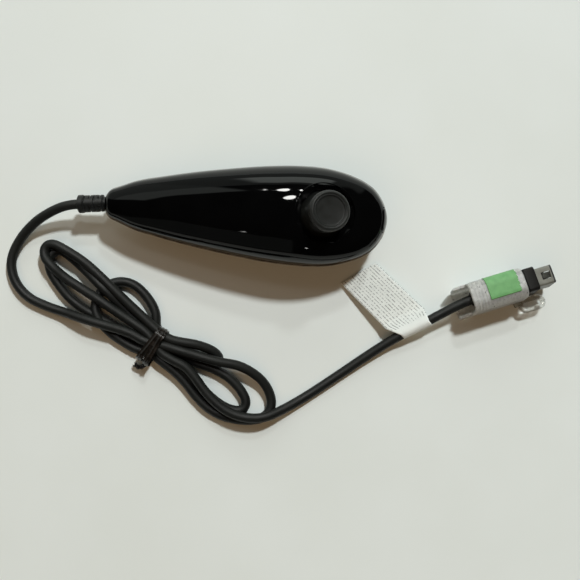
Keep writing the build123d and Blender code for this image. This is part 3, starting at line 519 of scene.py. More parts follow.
@dataclass(frozen=True)
class Finish:
    """Surface of one real material, mottled by one pattern and roughened by a finer one.

    Colour runs to second, and the roughness varies by vary, with a noise of patch_mm; the bump
    comes from a second noise of grain_mm and bump_mm.
    """

    name: str
    colour: str
    second: str
    roughness: float
    vary: float = 0.05
    patch_mm: float = 6.0
    grain_mm: float = 0.4
    bump_mm: float = 0.02
    metallic: float = 0.0
    ior: float = 1.5
    coat: float = 0.0
    transmission: float = 0.0
    sheen: float = 0.0

    def make(self) -> bpy.types.Material:
        """Builds the material and returns it."""
        material = bpy.data.materials.new(self.name)
        material.use_nodes = True
        tree = material.node_tree
        tree.nodes.clear()
        place = add_node(tree, "ShaderNodeTexCoord").outputs["Object"]
        patches = noise(tree, place, 1 / (self.patch_mm * MM), 4.0)
        roughness = (max(self.roughness - self.vary, 0.02), self.roughness + self.vary)
        bump = {
            "Height": noise(tree, place, 1 / (self.grain_mm * MM), 2.0),
            "Distance": self.bump_mm * MM,
            "Strength": 0.6,
        }
        inputs = {
            "Base Color": self.base_colour(tree, place, patches),
            "Roughness": mapped(tree, patches, (0.3, 0.7), roughness),
            "Normal": add_node(tree, "ShaderNodeBump", inputs=bump).outputs["Normal"],
            "Metallic": self.metallic,
            "Coat Weight": self.coat,
            "Transmission Weight": self.transmission,
            "Sheen Weight": self.sheen,
        }
        if not self.metallic:
            inputs["IOR"] = self.ior
        shader = add_node(tree, "ShaderNodeBsdfPrincipled", inputs=inputs)
        add_node(tree, "ShaderNodeOutputMaterial", inputs={"Surface": shader.outputs["BSDF"]})
        return material

    def base_colour(
        self, tree: bpy.types.NodeTree, place: bpy.types.NodeSocket, patches: bpy.types.NodeSocket
    ) -> bpy.types.NodeSocket:
        """Colour socket that runs between the finish's two colours.

        Args:
            tree: Node tree of the material.
            place: Object coordinates.
            patches: Noise that mottles the colour.

        Returns:
            The socket that holds the base colour.
        """
        ramp = add_node(tree, "ShaderNodeValToRGB", inputs={"Fac": patches})
        low, high = ramp.color_ramp.elements
        low.position, low.color = 0.35, linear(self.colour)
        high.position, high.color = 0.65, linear(self.second)
        return ramp.outputs["Color"]


@dataclass(frozen=True)
class RimmedFinish(Finish):
    """Moulding whose front rim, past a place along the plug's axis, is darker than the rest."""

    rim: str = "#17171a"
    rim_at: float = 8.6
    blur: float = 0.1

    def base_colour(
        self, tree: bpy.types.NodeTree, place: bpy.types.NodeSocket, patches: bpy.types.NodeSocket
    ) -> bpy.types.NodeSocket:
        """Colour socket that turns to the rim's colour at its front."""
        body = super().base_colour(tree, place, patches)
        along = add_node(
            tree, "ShaderNodeVectorMath", {"operation": "DOT_PRODUCT"}, {0: place, 1: tuple(PLUG.x)}
        ).outputs["Value"]
        start = (float(PLUG.origin @ PLUG.x) + self.rim_at) * MM
        share = mapped(tree, along, (start - self.blur * MM, start + self.blur * MM))
        return mixed(tree, share, body, self.rim)


@dataclass(frozen=True)
class RuledFinish(Finish):
    """Paper with grey broken ruled lines, as small print looks from afar.

    A line shows where a wave across the sheet is high and a noise along it is above its gaps.
    """

    line: str = "#7c7d7a"
    pitch_mm: float = 1.16
    words_per_m: float = 850.0
    print_start: tuple[float, float] = (0.0425, 0.0435)

    def base_colour(
        self, tree: bpy.types.NodeTree, place: bpy.types.NodeSocket, patches: bpy.types.NodeSocket
    ) -> bpy.types.NodeSocket:
        """Colour socket with the ruled lines over the paper's own mottling."""
        paper = super().base_colour(tree, place, patches)
        uv = add_node(tree, "ShaderNodeTexCoord").outputs["UV"]
        parts = add_node(tree, "ShaderNodeSeparateXYZ", inputs={"Vector": uv})
        across, along = parts.outputs["X"], parts.outputs["Y"]
        rows = maths(tree, "MULTIPLY", across, 1 / (self.pitch_mm * MM))
        wave = maths(tree, "PINGPONG", rows, 0.5)
        line = mapped(tree, wave, (0.3, 0.45), smooth=True)
        stretched = maths(tree, "MULTIPLY", along, self.words_per_m)
        cell = {"X": maths(tree, "FLOOR", rows), "Y": stretched}
        place = add_node(tree, "ShaderNodeCombineXYZ", inputs=cell).outputs["Vector"]
        broken = mapped(tree, noise(tree, place, 1.7, 3.0), (0.44, 0.54))
        printed = mapped(tree, along, self.print_start, smooth=True)
        inked = maths(tree, "MULTIPLY", maths(tree, "MULTIPLY", line, broken), printed)
        return mixed(tree, inked, paper, self.line)


FINISHES = {
    # Polished ABS: near black, with a film of handling that softens its gloss in patches
    "shell_gloss": Finish(
        "polished_black_abs", "#030303", "#050505", 0.045, 0.015, 14.0, 1.2, 0.0006, ior=1.34
    ),
    # The same ABS on the small button faces, a little less polished
    "button_gloss": Finish("moulded_black_abs", "#060606", "#090909", 0.12, 0.04, 5.0, 0.5, 0.004),
    # Edge of the lower shell's lip: pale partly from dust in its mould line, and partly a painted
    # highlight standing in for the glint of the floor on its rounding
    "seam_dust_and_glint": Finish("abs_edge_dust_and_painted_glint", "#6f6c66", "#a5a29b", 0.42, 0.1, 7.0, 0.3, 0.01),
    # Thermoplastic rubber of the strain relief: black, dull, with a fine moulded skin
    "relief_rubber": Finish(
        "tpe_relief_rubber", "#090a09", "#0f100e", 0.48, 0.08, 2.5, 0.25, 0.02, sheen=0.05
    ),
    # Turned, nickel-plated screw steel
    "steel": Finish("plated_screw_steel", "#a9a9a6", "#c4c4c0", 0.3, 0.08, 1.5, 0.2, 0.01, 1.0),
    # Drawn spring wire
    "spring_steel": Finish(
        "drawn_spring_steel", "#8e8f90", "#aaabab", 0.28, 0.06, 1.0, 0.2, 0.01, 1.0
    ),
    # Natural polyacetal of the moving inner parts: off-white and waxy
    "inner_plastic": Finish("white_acetal", "#d9d7cf", "#e6e4dd", 0.4, 0.06, 4.0, 0.4, 0.01),
    # Glass-epoxy board under green solder mask
    "board": Finish("green_epoxy_board", "#1c5233", "#23643f", 0.32, 0.06, 3.0, 0.5, 0.01),
    # Silicone of the button membrane
    "membrane_rubber": Finish("grey_silicone", "#5d6163", "#6b6f70", 0.6, 0.06, 3.0, 0.4, 0.02),
    # Thermoplastic rubber of the stick's cap: nearly black and matte
    "cap_rubber": Finish(
        "grey_cap_rubber", "#141512", "#191a18", 0.5, 0.08, 3.5, 0.35, 0.03, sheen=0.05
    ),
    # Moulded dark dome under the cap
    "dome_plastic": Finish("grey_abs_dome", "#111210", "#161715", 0.36, 0.06, 5.0, 0.4, 0.012),
    # Pressed tinplate housing
    "housing_metal": Finish(
        "pressed_tinplate", "#9fa09d", "#b4b5b2", 0.34, 0.08, 3.0, 0.5, 0.01, 1.0
    ),
    # Blue-grey moulded sensor cases
    "sensor_plastic": Finish("sensor_nylon", "#2b3b4a", "#35485a", 0.45, 0.06, 2.0, 0.3, 0.01),
    # Epoxy chip package
    "chip": Finish("epoxy_chip_case", "#17181a", "#202124", 0.5, 0.06, 1.5, 0.2, 0.01),
    # Nylon connector
    "connector_white": Finish("white_nylon", "#e2dfd5", "#ece9e0", 0.42, 0.06, 3.0, 0.3, 0.01),
    # Soft PVC of the cord: black, satin, with a drawn skin
    "cord_rubber": Finish("soft_pvc_cord", "#0d0e0c", "#121310", 0.56, 0.06, 9.0, 0.6, 0.02),
    # Plastic-coated wire tie: very dark brown and shiny where it creases
    "tie_plastic": Finish(
        "coated_wire_tie", "#0e0b08", "#1a130d", 0.24, 0.08, 1.6, 0.5, 0.06, coat=0.3
    ),
    # Wood-free card of the tag
    "tag_paper": RuledFinish(
        "printed_tag_card", "#dee1db", "#e6e9e3", 0.62, 0.05, 5.0, 0.15, 0.015
    ),
    # Black moulded plug, finely sparked in its mould
    "plug_black": Finish(
        "sparked_black_abs", "#0c0b09", "#14120f", 0.5, 0.06, 3.0, 0.3, 0.03, ior=1.36
    ),
    # Grey moulded tip of the plug
    "plug_grey": RimmedFinish("grey_moulded_tip", "#6e6d64", "#7a7970", 0.4, 0.06, 3.0, 0.3, 0.02),
    # Gold-washed brass contacts
    "contact_brass": Finish("gilt_brass", "#c9a24a", "#d7b25c", 0.22, 0.06, 1.0, 0.2, 0.005, 1.0),
    # Spring latch: the photograph doesn't show its metal, so this steel is a guess
    "latch_metal": Finish(
        "oiled_steel_latch", "#4a4a46", "#575752", 0.36, 0.06, 1.0, 0.2, 0.005, 1.0
    ),
    # Frosted polypropylene guard: lets light through but hides what is in it
    "guard_clear": Finish(
        "frosted_polypropylene", "#d0cfca", "#ecebe6", 0.38, 0.12, 0.9, 0.6, 0.09,
        ior=1.49, transmission=0.62,
    ),
    # The same polypropylene unfrosted on the pull loop: clear, bent light and bright glints
    "loop_clear": Finish(
        "clear_polypropylene", "#e3e2dd", "#efeeea", 0.1, 0.04, 3.0, 1.0, 0.02, transmission=0.94
    ),
    # Green vinyl label, scuffed along one edge
    "label_green": Finish("green_vinyl_label", "#63985f", "#70a56a", 0.5, 0.08, 2.4, 0.5, 0.03),
}


@dataclass
class Lamp:
    """One area lamp, given by its direction from the object, its distance and its size."""

    name: str
    azimuth: float
    elevation: float
    distance: float
    size: tuple[float, float]
    power: float
    colour: str = "#ffffff"
    glossy: bool = True
    diffuse: bool = True


@dataclass
class Studio:
    """Camera, floor, world and lamps."""

    camera_at: tuple[float, float, float] = (26.3, -43.0, 328.8)
    camera_to: tuple[float, float, float] = (25.3, -28.8, 0.0)
    picture_up: tuple[float, float, float] = (-0.073, 0.997, 0.0)
    focal_px: float = 800.0
    frame_px: float = 580.0
    sensor_mm: float = 36.0
    floor_half: float = 3.0
    floor_level: float = -0.05
    floor_colour: str = "#dcdfd9"
    middle: tuple[float, float, float] = (0.025, -0.02, 0.0)
    ceiling: tuple[float, float, float] = (0.015, 0.015, 0.015)
    glass: tuple[float, float, float, float] = (0.93, 1.0, 0.94, 1.0)
    side_blur: float = 0.07
    rise_blur: float = 0.02
    lamps: list[Lamp] = field(
        default_factory=lambda: [
            Lamp("key", 64.0, 51.5, 3.6, (0.32, 0.32), 106.0, "#f5fcff", glossy=False),
            Lamp("second_key", 74.0, 42.0, 3.6, (0.28, 0.28), 20.0, "#f5fcff", glossy=False),
            Lamp("warm_fill", 250.0, 62.0, 1.6, (1.6, 1.6), 4.7, "#ffd2a0", glossy=False),
            Lamp("ceiling_tube_a", 108.0, 50.0, 1.6, (0.23, 0.15), 3.8, "#fffffb", diffuse=False),
            Lamp("ceiling_tube_b", 105.0, 65.0, 1.6, (0.37, 0.17), 6.8, "#fffffb", diffuse=False),
            Lamp("far_tube", 82.0, 51.0, 1.6, (0.08, 0.08), 0.8, "#fffffb", diffuse=False),
            Lamp("near_tube", 238.0, 48.0, 1.6, (0.03, 0.03), 0.06, "#fffffb", diffuse=False),
            Lamp("low_tube", 280.0, 27.0, 1.6, (0.05, 0.05), 0.2, "#fffffb", diffuse=False),
        ]
    )
    windows: tuple = (
        # azimuth start and end, lowest and highest share of the way up, brightness
        (2.11, 2.84, -0.10, 0.766, 0.42),
        (2.11, 2.84, 0.60, 0.766, 0.36),
        (1.05, 2.11, -0.10, 0.600, 0.32),
        (1.20, 1.90, 0.24, 0.530, 1.80),
        (-2.40, -1.60, 0.05, 0.700, 0.11),
    )

    def camera(self) -> None:
        """Puts the camera where the photographer stood and makes it the scene's camera."""
        at, to = Vector(self.camera_at) * MM, Vector(self.camera_to) * MM
        forward = (to - at).normalized()
        right = forward.cross(Vector(self.picture_up)).normalized()
        upward = right.cross(forward)
        data = bpy.data.cameras.new("photo_camera")
        data.sensor_width = self.sensor_mm
        data.lens = self.sensor_mm * self.focal_px / self.frame_px
        data.clip_start, data.clip_end = 0.01, 20.0
        camera = placed("photo_camera", data)
        turn = Matrix((right, upward, -forward)).transposed().to_4x4()
        camera.matrix_world = Matrix.Translation(at) @ turn
        bpy.context.scene.camera = camera

    def floor(self) -> None:
        """Lays the pale table top."""
        half = self.floor_half / MM
        grid = np.array([[[x, y, self.floor_level] for x in (-half, half)] for y in (-half, half)])
        piece = skin("table_top", grid, wrap_columns=False)
        finish = Finish(
            "white_laminate", self.floor_colour, "#dfe2dd", 0.55, 0.03, 60.0, 1.0, 0.003
        )
        piece.data.materials.append(finish.make())
        if piece.data.polygons[0].normal.z < 0:
            piece.data.flip_normals()

    def world(self) -> None:
        """Dark ceiling with pale windows beyond the object, laid out by azimuth and height."""
        world = bpy.data.worlds.new("room")
        bpy.context.scene.world = world
        world.use_nodes = True
        tree = world.node_tree
        tree.nodes.clear()
        direction = add_node(tree, "ShaderNodeTexCoord").outputs["Generated"]
        parts = add_node(tree, "ShaderNodeSeparateXYZ", inputs={"Vector": direction})
        azimuth = maths(tree, "ARCTAN2", parts.outputs["Y"], parts.outputs["X"])
        total = None
        for start, end, low, high, brightness in self.windows:
            pane = self.band(tree, azimuth, (start, end), self.side_blur, brightness)
            rise = self.band(tree, parts.outputs["Z"], (low, high), self.rise_blur, 1.0)
            lit = maths(tree, "MULTIPLY", pane, rise)
            total = lit if total is None else maths(tree, "ADD", total, lit)
        lights = [
            add_node(tree, "ShaderNodeBackground", inputs={"Color": colour, "Strength": strength})
            for colour, strength in ((self.glass, total), ((*self.ceiling, 1.0), 1.0))
        ]
        shaders = {index: node.outputs[0] for index, node in enumerate(lights)}
        both = add_node(tree, "ShaderNodeAddShader", inputs=shaders).outputs[0]
        add_node(tree, "ShaderNodeOutputWorld", inputs={"Surface": both})

    def band(
        self,
        tree: bpy.types.NodeTree,
        value: bpy.types.NodeSocket,
        span: tuple[float, float],
        blur: float,
        level: float,
    ) -> bpy.types.NodeSocket:
        """Socket that holds a level inside a span of a value, and 0 outside it.

        Args:
            tree: Node tree of the world.
            value: Value that is cut into a band.
            span: Values where the band begins and ends.
            blur: Width of each edge.
            level: Output inside the band.

        Returns:
            The product of a rising and a falling smooth step.
        """
        start, end = [(place - blur / 2, place + blur / 2) for place in span]
        rising = mapped(tree, value, start, smooth=True)
        falling = mapped(tree, value, end, (level, 0.0), smooth=True)
        return maths(tree, "MULTIPLY", rising, falling)

    def light(self) -> None:
        """Hangs each lamp on its direction, turned to face the object."""
        middle = Vector(self.middle)
        for lamp in self.lamps:
            data = bpy.data.lights.new(lamp.name, "AREA")
            data.shape = "ELLIPSE"
            data.size, data.size_y = lamp.size
            data.energy = lamp.power
            data.color = linear(lamp.colour)[:3]
            azimuth, elevation = math.radians(lamp.azimuth), math.radians(lamp.elevation)
            ray = Vector(
                (
                    math.cos(azimuth) * math.cos(elevation),
                    math.sin(azimuth) * math.cos(elevation),
                    math.sin(elevation),
                )
            )
            piece = placed(lamp.name, data)
            piece.location = middle + ray * lamp.distance
            piece.rotation_euler = ray.to_track_quat("Z", "Y").to_euler()
            piece.visible_glossy = lamp.glossy
            piece.visible_diffuse = lamp.diffuse

    def build(self) -> None:
        """Makes the camera, then the floor, the world and the lamps."""
        self.camera()
        self.floor()
        self.world()
        self.light()
        view = bpy.context.scene.view_settings
        view.view_transform = "Standard"


@dataclass
class HankedCord:
    """The whole cord as one curve: lead, seven passes through the tie, and the run to the plug."""

    radius: float = 1.95
    length: float = 0.85
    lead: tuple = (
        (-61.40, -1.11, 10.38), (-65.97, -1.59, 10.13), (-73.0, -4.6, 8.5), (-80.4, -9.4, 5.6),
        (-86.6, -16.6, 3.0), (-89.9, -25.2, 2.0), (-87.6, -33.4, 2.0), (-81.6, -39.8, 2.0),
        (-72.8, -43.0, 2.1), (-66.0, -44.6, 2.6), (-60.5, -46.0, 4.6), (-54.5, -47.3, 6.2),
        (-48.5, -48.6, 6.2), (-42.0, -49.9, 5.9), (-36.5, -51.5, 5.9), (-31.5, -54.1, 6.1),
    )
    first_right_loop: tuple = (
        (-23.9, -55.0, 6.2), (-17.5, -56.6, 6.4), (-11.0, -58.0, 6.2), (-5.5, -59.2, 6.2),
        (0.0, -60.2, 6.2), (6.5, -60.7, 5.4), (12.5, -63.2, 4.2), (17.6, -67.0, 3.0),
        (20.9, -72.6, 2.1), (21.3, -77.6, 2.0), (18.2, -81.8, 2.0), (11.4, -83.2, 2.0),
        (3.6, -82.6, 2.0), (-3.2, -80.2, 2.0), (-9.4, -75.2, 2.0), (-14.4, -69.4, 2.1),
        (-19.4, -65.0, 2.5), (-27.0, -60.1, 3.2),
    )
    second_left_loop: tuple = (
        (-32.0, -55.0, 2.2), (-38.5, -51.8, 2.0), (-45.5, -48.6, 2.0), (-52.0, -45.6, 2.0),
        (-58.6, -42.6, 2.0), (-64.6, -38.6, 2.0), (-69.4, -33.4, 2.0), (-73.6, -27.8, 2.0),
        (-74.2, -22.0, 2.0), (-70.0, -18.9, 2.0), (-64.6, -22.2, 2.0), (-58.0, -27.4, 3.0),
        (-53.2, -31.2, 5.2), (-48.4, -35.2, 5.6), (-43.0, -40.0, 3.6), (-38.2, -44.2, 2.2),
        (-30.1, -51.7, 2.2),
    )
    inner_right_loop: tuple = (
        (-24.0, -55.1, 2.2), (-17.2, -58.6, 2.0), (-10.4, -61.4, 2.0), (-3.6, -63.0, 2.0),
        (3.0, -66.0, 2.0), (8.2, -70.6, 2.0), (11.2, -75.4, 2.0), (9.8, -79.2, 2.0),
        (5.2, -79.4, 2.0), (0.2, -77.4, 2.0), (-4.6, -74.0, 2.0), (-9.4, -69.6, 2.0),
        (-14.6, -66.0, 2.0), (-20.2, -61.8, 2.1), (-25.8, -58.2, 2.2),
    )
    third_left_loop: tuple = (
        (-33.9, -58.1, 2.3), (-40.0, -55.5, 2.0), (-46.4, -51.8, 2.2), (-50.8, -47.6, 3.0),
        (-53.4, -43.2, 2.6), (-53.4, -38.2, 2.0), (-50.2, -32.8, 2.0), (-44.4, -30.2, 2.0),
        (-38.6, -31.1, 2.0), (-33.8, -34.7, 2.0), (-30.1, -39.2, 2.2), (-28.2, -43.2, 2.4),
        (-28.2, -48.6, 2.2),
    )
    small_right_loop: tuple = (
        (-22.4, -52.6, 2.2), (-16.5, -55.8, 2.0), (-10.8, -58.0, 2.0), (-6.8, -60.2, 2.0),
        (-2.8, -61.2, 2.0), (-1.0, -58.8, 2.4), (-3.6, -56.0, 3.4), (-8.0, -54.4, 4.6),
        (-12.0, -53.6, 5.6), (-17.4, -53.2, 6.0), (-22.3, -52.4, 5.9),
    )
    top_left_loop: tuple = (
        (-28.0, -48.3, 5.8), (-33.2, -44.2, 5.6), (-39.0, -39.6, 5.7), (-46.0, -33.8, 6.0),
        (-52.4, -28.4, 5.9), (-58.8, -23.6, 5.5), (-65.8, -19.8, 5.8), (-72.4, -16.9, 5.0),
        (-75.6, -18.9, 4.2), (-75.2, -23.0, 4.6), (-71.2, -26.8, 5.8), (-66.4, -30.6, 4.6),
        (-59.8, -34.2, 5.0), (-53.5, -37.4, 6.0), (-48.0, -40.6, 6.0), (-42.0, -44.0, 5.6),
        (-36.0, -47.3, 5.8), (-29.7, -51.1, 6.0),
    )
    run: tuple = (
        (-25.5, -57.7, 6.0), (-20.0, -60.6, 6.0), (-14.6, -62.6, 6.0), (-10.6, -66.4, 6.0),
        (-6.4, -71.6, 6.0), (-1.6, -76.2, 6.0), (3.6, -79.6, 6.0), (9.4, -81.4, 6.0),
        (15.4, -81.6, 6.2), (20.6, -80.3, 5.8), (26.4, -77.2, 3.6), (33.6, -72.6, 2.2),
        (42.0, -66.3, 2.0), (50.6, -59.6, 2.1), (59.6, -52.4, 2.9), (69.2, -45.2, 4.4),
        (79.6, -38.8, 6.3), (87.4, -33.8, 7.3), (92.84, -30.3, 8.16), (97.97, -27.69, 8.16),
    )

    def route(self) -> list[tuple[float, float, float]]:
        """Control points in millimetres, from the relief to the plug."""
        left = (self.second_left_loop, self.third_left_loop, self.top_left_loop)
        right = (self.first_right_loop, self.inner_right_loop, self.small_right_loop)
        turns = [points for pair in zip(right, left) for points in pair]
        return [point for points in (self.lead, *turns, self.run) for point in points]

    def build(self) -> bpy.types.Object:
        """Makes the curve and returns it."""
        points = self.route()
        curve = bpy.data.curves.new("cord", "CURVE")
        curve.dimensions = "3D"
        curve.resolution_u = 8
        curve.bevel_depth = self.radius * MM
        curve.bevel_resolution = 5
        curve.use_fill_caps = True
        line = curve.splines.new("NURBS")
        line.points.add(len(points) - 1)
        values = np.ones((len(points), 4))
        values[:, :3] = np.array(points) * MM
        line.points.foreach_set("co", values.ravel())
        line.order_u = 3
        line.use_endpoint_u = True
        return placed("cord", curve)

    def declare(self, piece: bpy.types.Object, with_pieces: list[bpy.types.Object | str]) -> None:
        """Does nothing with the cord or its pieces.

        Args:
            piece: The curve; not used.
            with_pieces: Pieces that hang on it; not used.
        """


class Side(Enum):
    """Upper or lower half of the body, by the sign of its height over the seam."""

    UPPER = 1
    LOWER = -1


@dataclass
class Body:
    """The glossy teardrop: two shells, the lip between them, the gate and the screw wells."""

    length: float = 112.0
    half_width: float = 19.4
    crown: float = 15.6
    belly: float = 15.0
    wall: float = 1.8
    lip: float = 0.35
    seam_inset: float = 0.12
    seam_level: float = -0.1
    seam_bead: float = 0.26
    fullness: dict = field(default_factory=lambda: {Side.UPPER: 2.3, Side.LOWER: 1.8})
    # place, half width, upper height and lower height, each as a share of the whole
    stations: np.ndarray = field(
        default_factory=lambda: np.array(
            [
                (0.000, 0.245, 0.280, 0.29),
                (0.044, 0.335, 0.385, 0.375),
                (0.110, 0.484, 0.500, 0.50),
                (0.195, 0.600, 0.620, 0.63),
                (0.320, 0.745, 0.760, 0.79),
                (0.450, 0.865, 0.880, 0.92),
                (0.580, 0.960, 0.965, 0.99),
                (0.690, 1.000, 1.000, 1.00),
                (0.800, 0.965, 0.850, 0.965),
                (0.880, 0.840, 0.680, 0.90),
                (0.925, 0.720, 0.600, 0.85),
                (0.955, 0.590, 0.530, 0.79),
                (0.980, 0.400, 0.430, 0.70),
                (1.000, 0.170, 0.250, 0.45),
            ]
        )
    )
    tail_round: float = 3.6
    nose_round: float = 1.6
    gate_radius: float = 11.6
    gate_level: float = 7.2
    gate_depth: float = 2.2
    gate_top: float = 11.0
    gate_hole: float = 8.9
    screws: tuple = (26.0, 44.0)
    well_radius: float = 2.7
    well_floor: float = -6.0
    well_hole: float = 1.15
    gate_foot: float = 1.6
    gate_roll: float = 0.25
    relief_bore: float = 2.55
    relief_span: tuple[float, float] = (-3.0, 7.4)
    shell_rows: int = 190
    shell_steps: int = 81

    def measures(self, along: np.ndarray, side: Side) -> tuple[np.ndarray, np.ndarray]:
        """Half width and height of the section, from smooth curves through the stations.

        Args:
            along: Distances from the tail in millimetres.
            side: Half of the body.

        Returns:
            Half widths and heights in millimetres.
        """
        table = through(along / self.length, self.stations[:, 0], self.stations[:, 1:])
        if side is Side.UPPER:
            return table[..., 0] * self.half_width, table[..., 1] * self.crown
        return table[..., 0] * self.half_width + self.lip, table[..., 2] * self.belly

    def level(self, along: np.ndarray, across: np.ndarray, side: Side) -> np.ndarray:
        """Height of the outer surface over the seam: height * (1 - |across / width|^n)^(1/n).

        Args:
            along: Distances from the tail.
            across: Distances from the middle.
            side: Half of the body.

        Returns:
            Signed heights over the seam's plane.
        """
        width, height = self.measures(along, side)
        n = self.fullness[side]
        reach = np.clip(np.abs(across) / width, 0.0, 1.0)
        return side.value * height * (1 - reach**n) ** (1 / n)

    def rows(self, inset: float, count: int) -> tuple[np.ndarray, np.ndarray]:
        """Places of the rows and how far each is drawn in at the rounded ends.

        Args:
            inset: Distance that the surface lies inside the outer one.
            count: Number of rows between the rounded ends.

        Returns:
            Distances from the tail, and shares of the section's full size.
        """
        turn = 1 - np.cos(np.linspace(0, np.pi / 2, 9))
        tail = inset + self.tail_round * turn
        nose = self.length - inset - self.nose_round * turn[::-1]
        middle = np.linspace(tail[-1], nose[0], count)[1:-1]
        along = np.concatenate([tail, middle, nose])
        shrink = rounding(turn)
        size = np.concatenate([shrink, np.ones(count - 2), shrink[::-1]])
        return along, size

    def surface(self, side: Side, inset: float, count: int, steps: int) -> np.ndarray:
        """Grid of points over one half: superellipse sections, reach cos^(2/n) and rise sin^(2/n).

        Args:
            side: Half of the body.
            inset: Distance inside the outer surface.
            count: Rows between the rounded ends.
            steps: Points from one side of the seam to the other.

        Returns:
            Rows by steps by three points in millimetres.
        """
        along, size = self.rows(inset, count)
        width, height = self.measures(along, side)
        width = (width - inset) * size
        height = (height - inset) * size
        angle = np.linspace(0, np.pi, steps)
        power = 2 / self.fullness[side]
        reach = np.sign(np.cos(angle)) * np.abs(np.cos(angle)) ** power
        rise = np.sin(angle) ** power
        rise[[0, -1]] = 0.0
        return DECK.at(
            along[:, None] + 0 * angle,
            width[:, None] * reach[None],
            side.value * height[:, None] * rise[None],
        )

    def shell(self, side: Side, name: str) -> bpy.types.Object:
        """Closed wall of one half: outer surface, seam faces and inner surface in one loop.

        Args:
            side: Half of the body.
            name: Name of the piece.

        Returns:
            The new object.
        """
        outer, inner = [
            self.surface(side, inset, self.shell_rows, self.shell_steps)
            for inset in (0.0, self.wall)
        ]
        return skin(name, np.concatenate([outer, inner[:, ::-1]], axis=1), sharp=50.0)

    def surface_height(self, axes: Axes, x: np.ndarray, y: np.ndarray, side: Side) -> np.ndarray:
        """Third coordinate where lines along the axes' third direction meet the outer surface.

        Args:
            axes: Axes that the lines are given in.
            x: First coordinates of the lines.
            y: Second coordinates of the lines.
            side: Half of the body.

        Returns:
            Third coordinates, found by repeated steps towards the surface.
        """
        height = np.zeros(np.broadcast(x, y).shape) + side.value * 8.0
        slope = float(axes.z @ DECK.z)
        for _ in range(16):
            along, across, above = DECK.local(axes.at(x, y, height))
            height = height + (self.level(along, across, side) - above) / slope
        return height

    def gate(self) -> bpy.types.Object:
        """Ring in the upper shell round the stick.

        Its inner wall is an octagon of distance a from the axis, radius a / cos of the angle from
        the middle of a side; above it come the bevel, the level floor and a lip rolled over.

        Returns:
            The new object.
        """
        angle = np.linspace(0, 2 * np.pi, 193)[:-1]
        around = on_circle(angle).T
        octagon = 1 / np.cos((angle + np.pi / 8) % (np.pi / 4) - np.pi / 8)
        limit = self.gate_radius - 0.05
        bottom = self.gate_level - self.gate_depth
        foot = bottom - self.gate_foot
        rows = []
        for apothem, height in (
            (self.gate_hole + 0.9, foot),
            (self.gate_hole, foot),
            (self.gate_hole, bottom - 0.12),
            (self.gate_hole + 0.08, bottom),
            (self.gate_top - 0.12, self.gate_level - 0.1),
            (self.gate_top + 0.05, self.gate_level),
            (limit, self.gate_level),
        ):
            x, y = np.minimum(apothem * octagon, limit) * around
            top = self.surface_height(STICK, x, y, Side.UPPER) - self.gate_roll
            rows.append(STICK.at(x, y, np.minimum(height, top)))
        for turn in np.linspace(0, np.pi, 9):
            x, y = (self.gate_radius + 0.2 - self.gate_roll * math.cos(turn)) * around
            top = self.surface_height(STICK, x, y, Side.UPPER)
            rows.append(STICK.at(x, y, top - 0.22 + self.gate_roll * math.sin(turn)))
        x, y = (self.gate_radius + 0.5) * around
        rows.append(STICK.at(x, y, foot))
        return skin("stick_gate", np.array(rows), wrap_rows=True, sharp=30.0)

    def well(self, along: float, name: str) -> bpy.types.Object:
        """Round cup that a shell screw sits in, its rim following the belly.

        Args:
            along: Distance of the screw from the tail.
            name: Name of the piece.

        Returns:
            The new object.
        """
        around = on_circle(np.linspace(0, 2 * np.pi, 65)[:-1]).T
        outside = self.well_radius + 1.4
        rows = []
        # radius, then the height, or the distance over the belly's surface
        for radius, height, inset in (
            (self.well_hole, self.well_floor, None),
            (self.well_radius - 0.15, self.well_floor, None),
            (self.well_radius, self.well_floor - 0.15, None),
            (self.well_radius, None, 0.25),
            (self.well_radius + 0.2, None, 0.05),
            (outside, None, 0.9),
            (outside, self.well_floor + 1.5, None),
            (self.well_hole, self.well_floor + 1.5, None),
        ):
            x, y = radius * around
            z = self.level(along + x, y, Side.LOWER) + inset if height is None else height
            rows.append(DECK.at(along + x, y, z))
        return skin(name, np.array(rows), wrap_rows=True, sharp=40.0)

    def seam(self) -> bpy.types.Object:
        """Pale line of the lower shell's lip, its paleness partly dust and partly a painted
        highlight: a half-round bead round the whole seam.

        Returns:
            The new object.
        """
        along, size = self.rows(0.0, 150)
        width = self.measures(along, Side.LOWER)[0] * size - self.seam_inset
        sides = [np.stack([along, sign * width], axis=1) for sign in (1, -1)]
        path = np.concatenate([sides[0], sides[1][::-1]])
        keep = np.linalg.norm(path - np.roll(path, 1, axis=0), axis=1) > 0.05
        path = path[keep]
        centre = DECK.at(path[:, 0], path[:, 1], self.seam_level)
        return sweep("seam_lip", centre, DECK.z, circle(self.seam_bead, 10), closed=True)

    def cylinder(
        self,
        name: str,
        axes: Axes,
        centre: tuple[float, float],
        radius: float,
        span: tuple[float, float],
    ) -> bpy.types.Object:
        """Round cutter along the third axis.

        Args:
            name: Name of the cutter.
            axes: Axes of the cutter.
            centre: First and second coordinates of its middle.
            radius: Radius in millimetres.
            span: Lowest and highest third coordinates.

        Returns:
            The new object.
        """
        low, high = span
        middle = Axes(axes.at(*centre, 0.0), axes.x, axes.z)
        profile = np.array([(0, low), (radius, low), (radius, high), (0, high)], float)
        return lathe(name, middle, profile, 96)

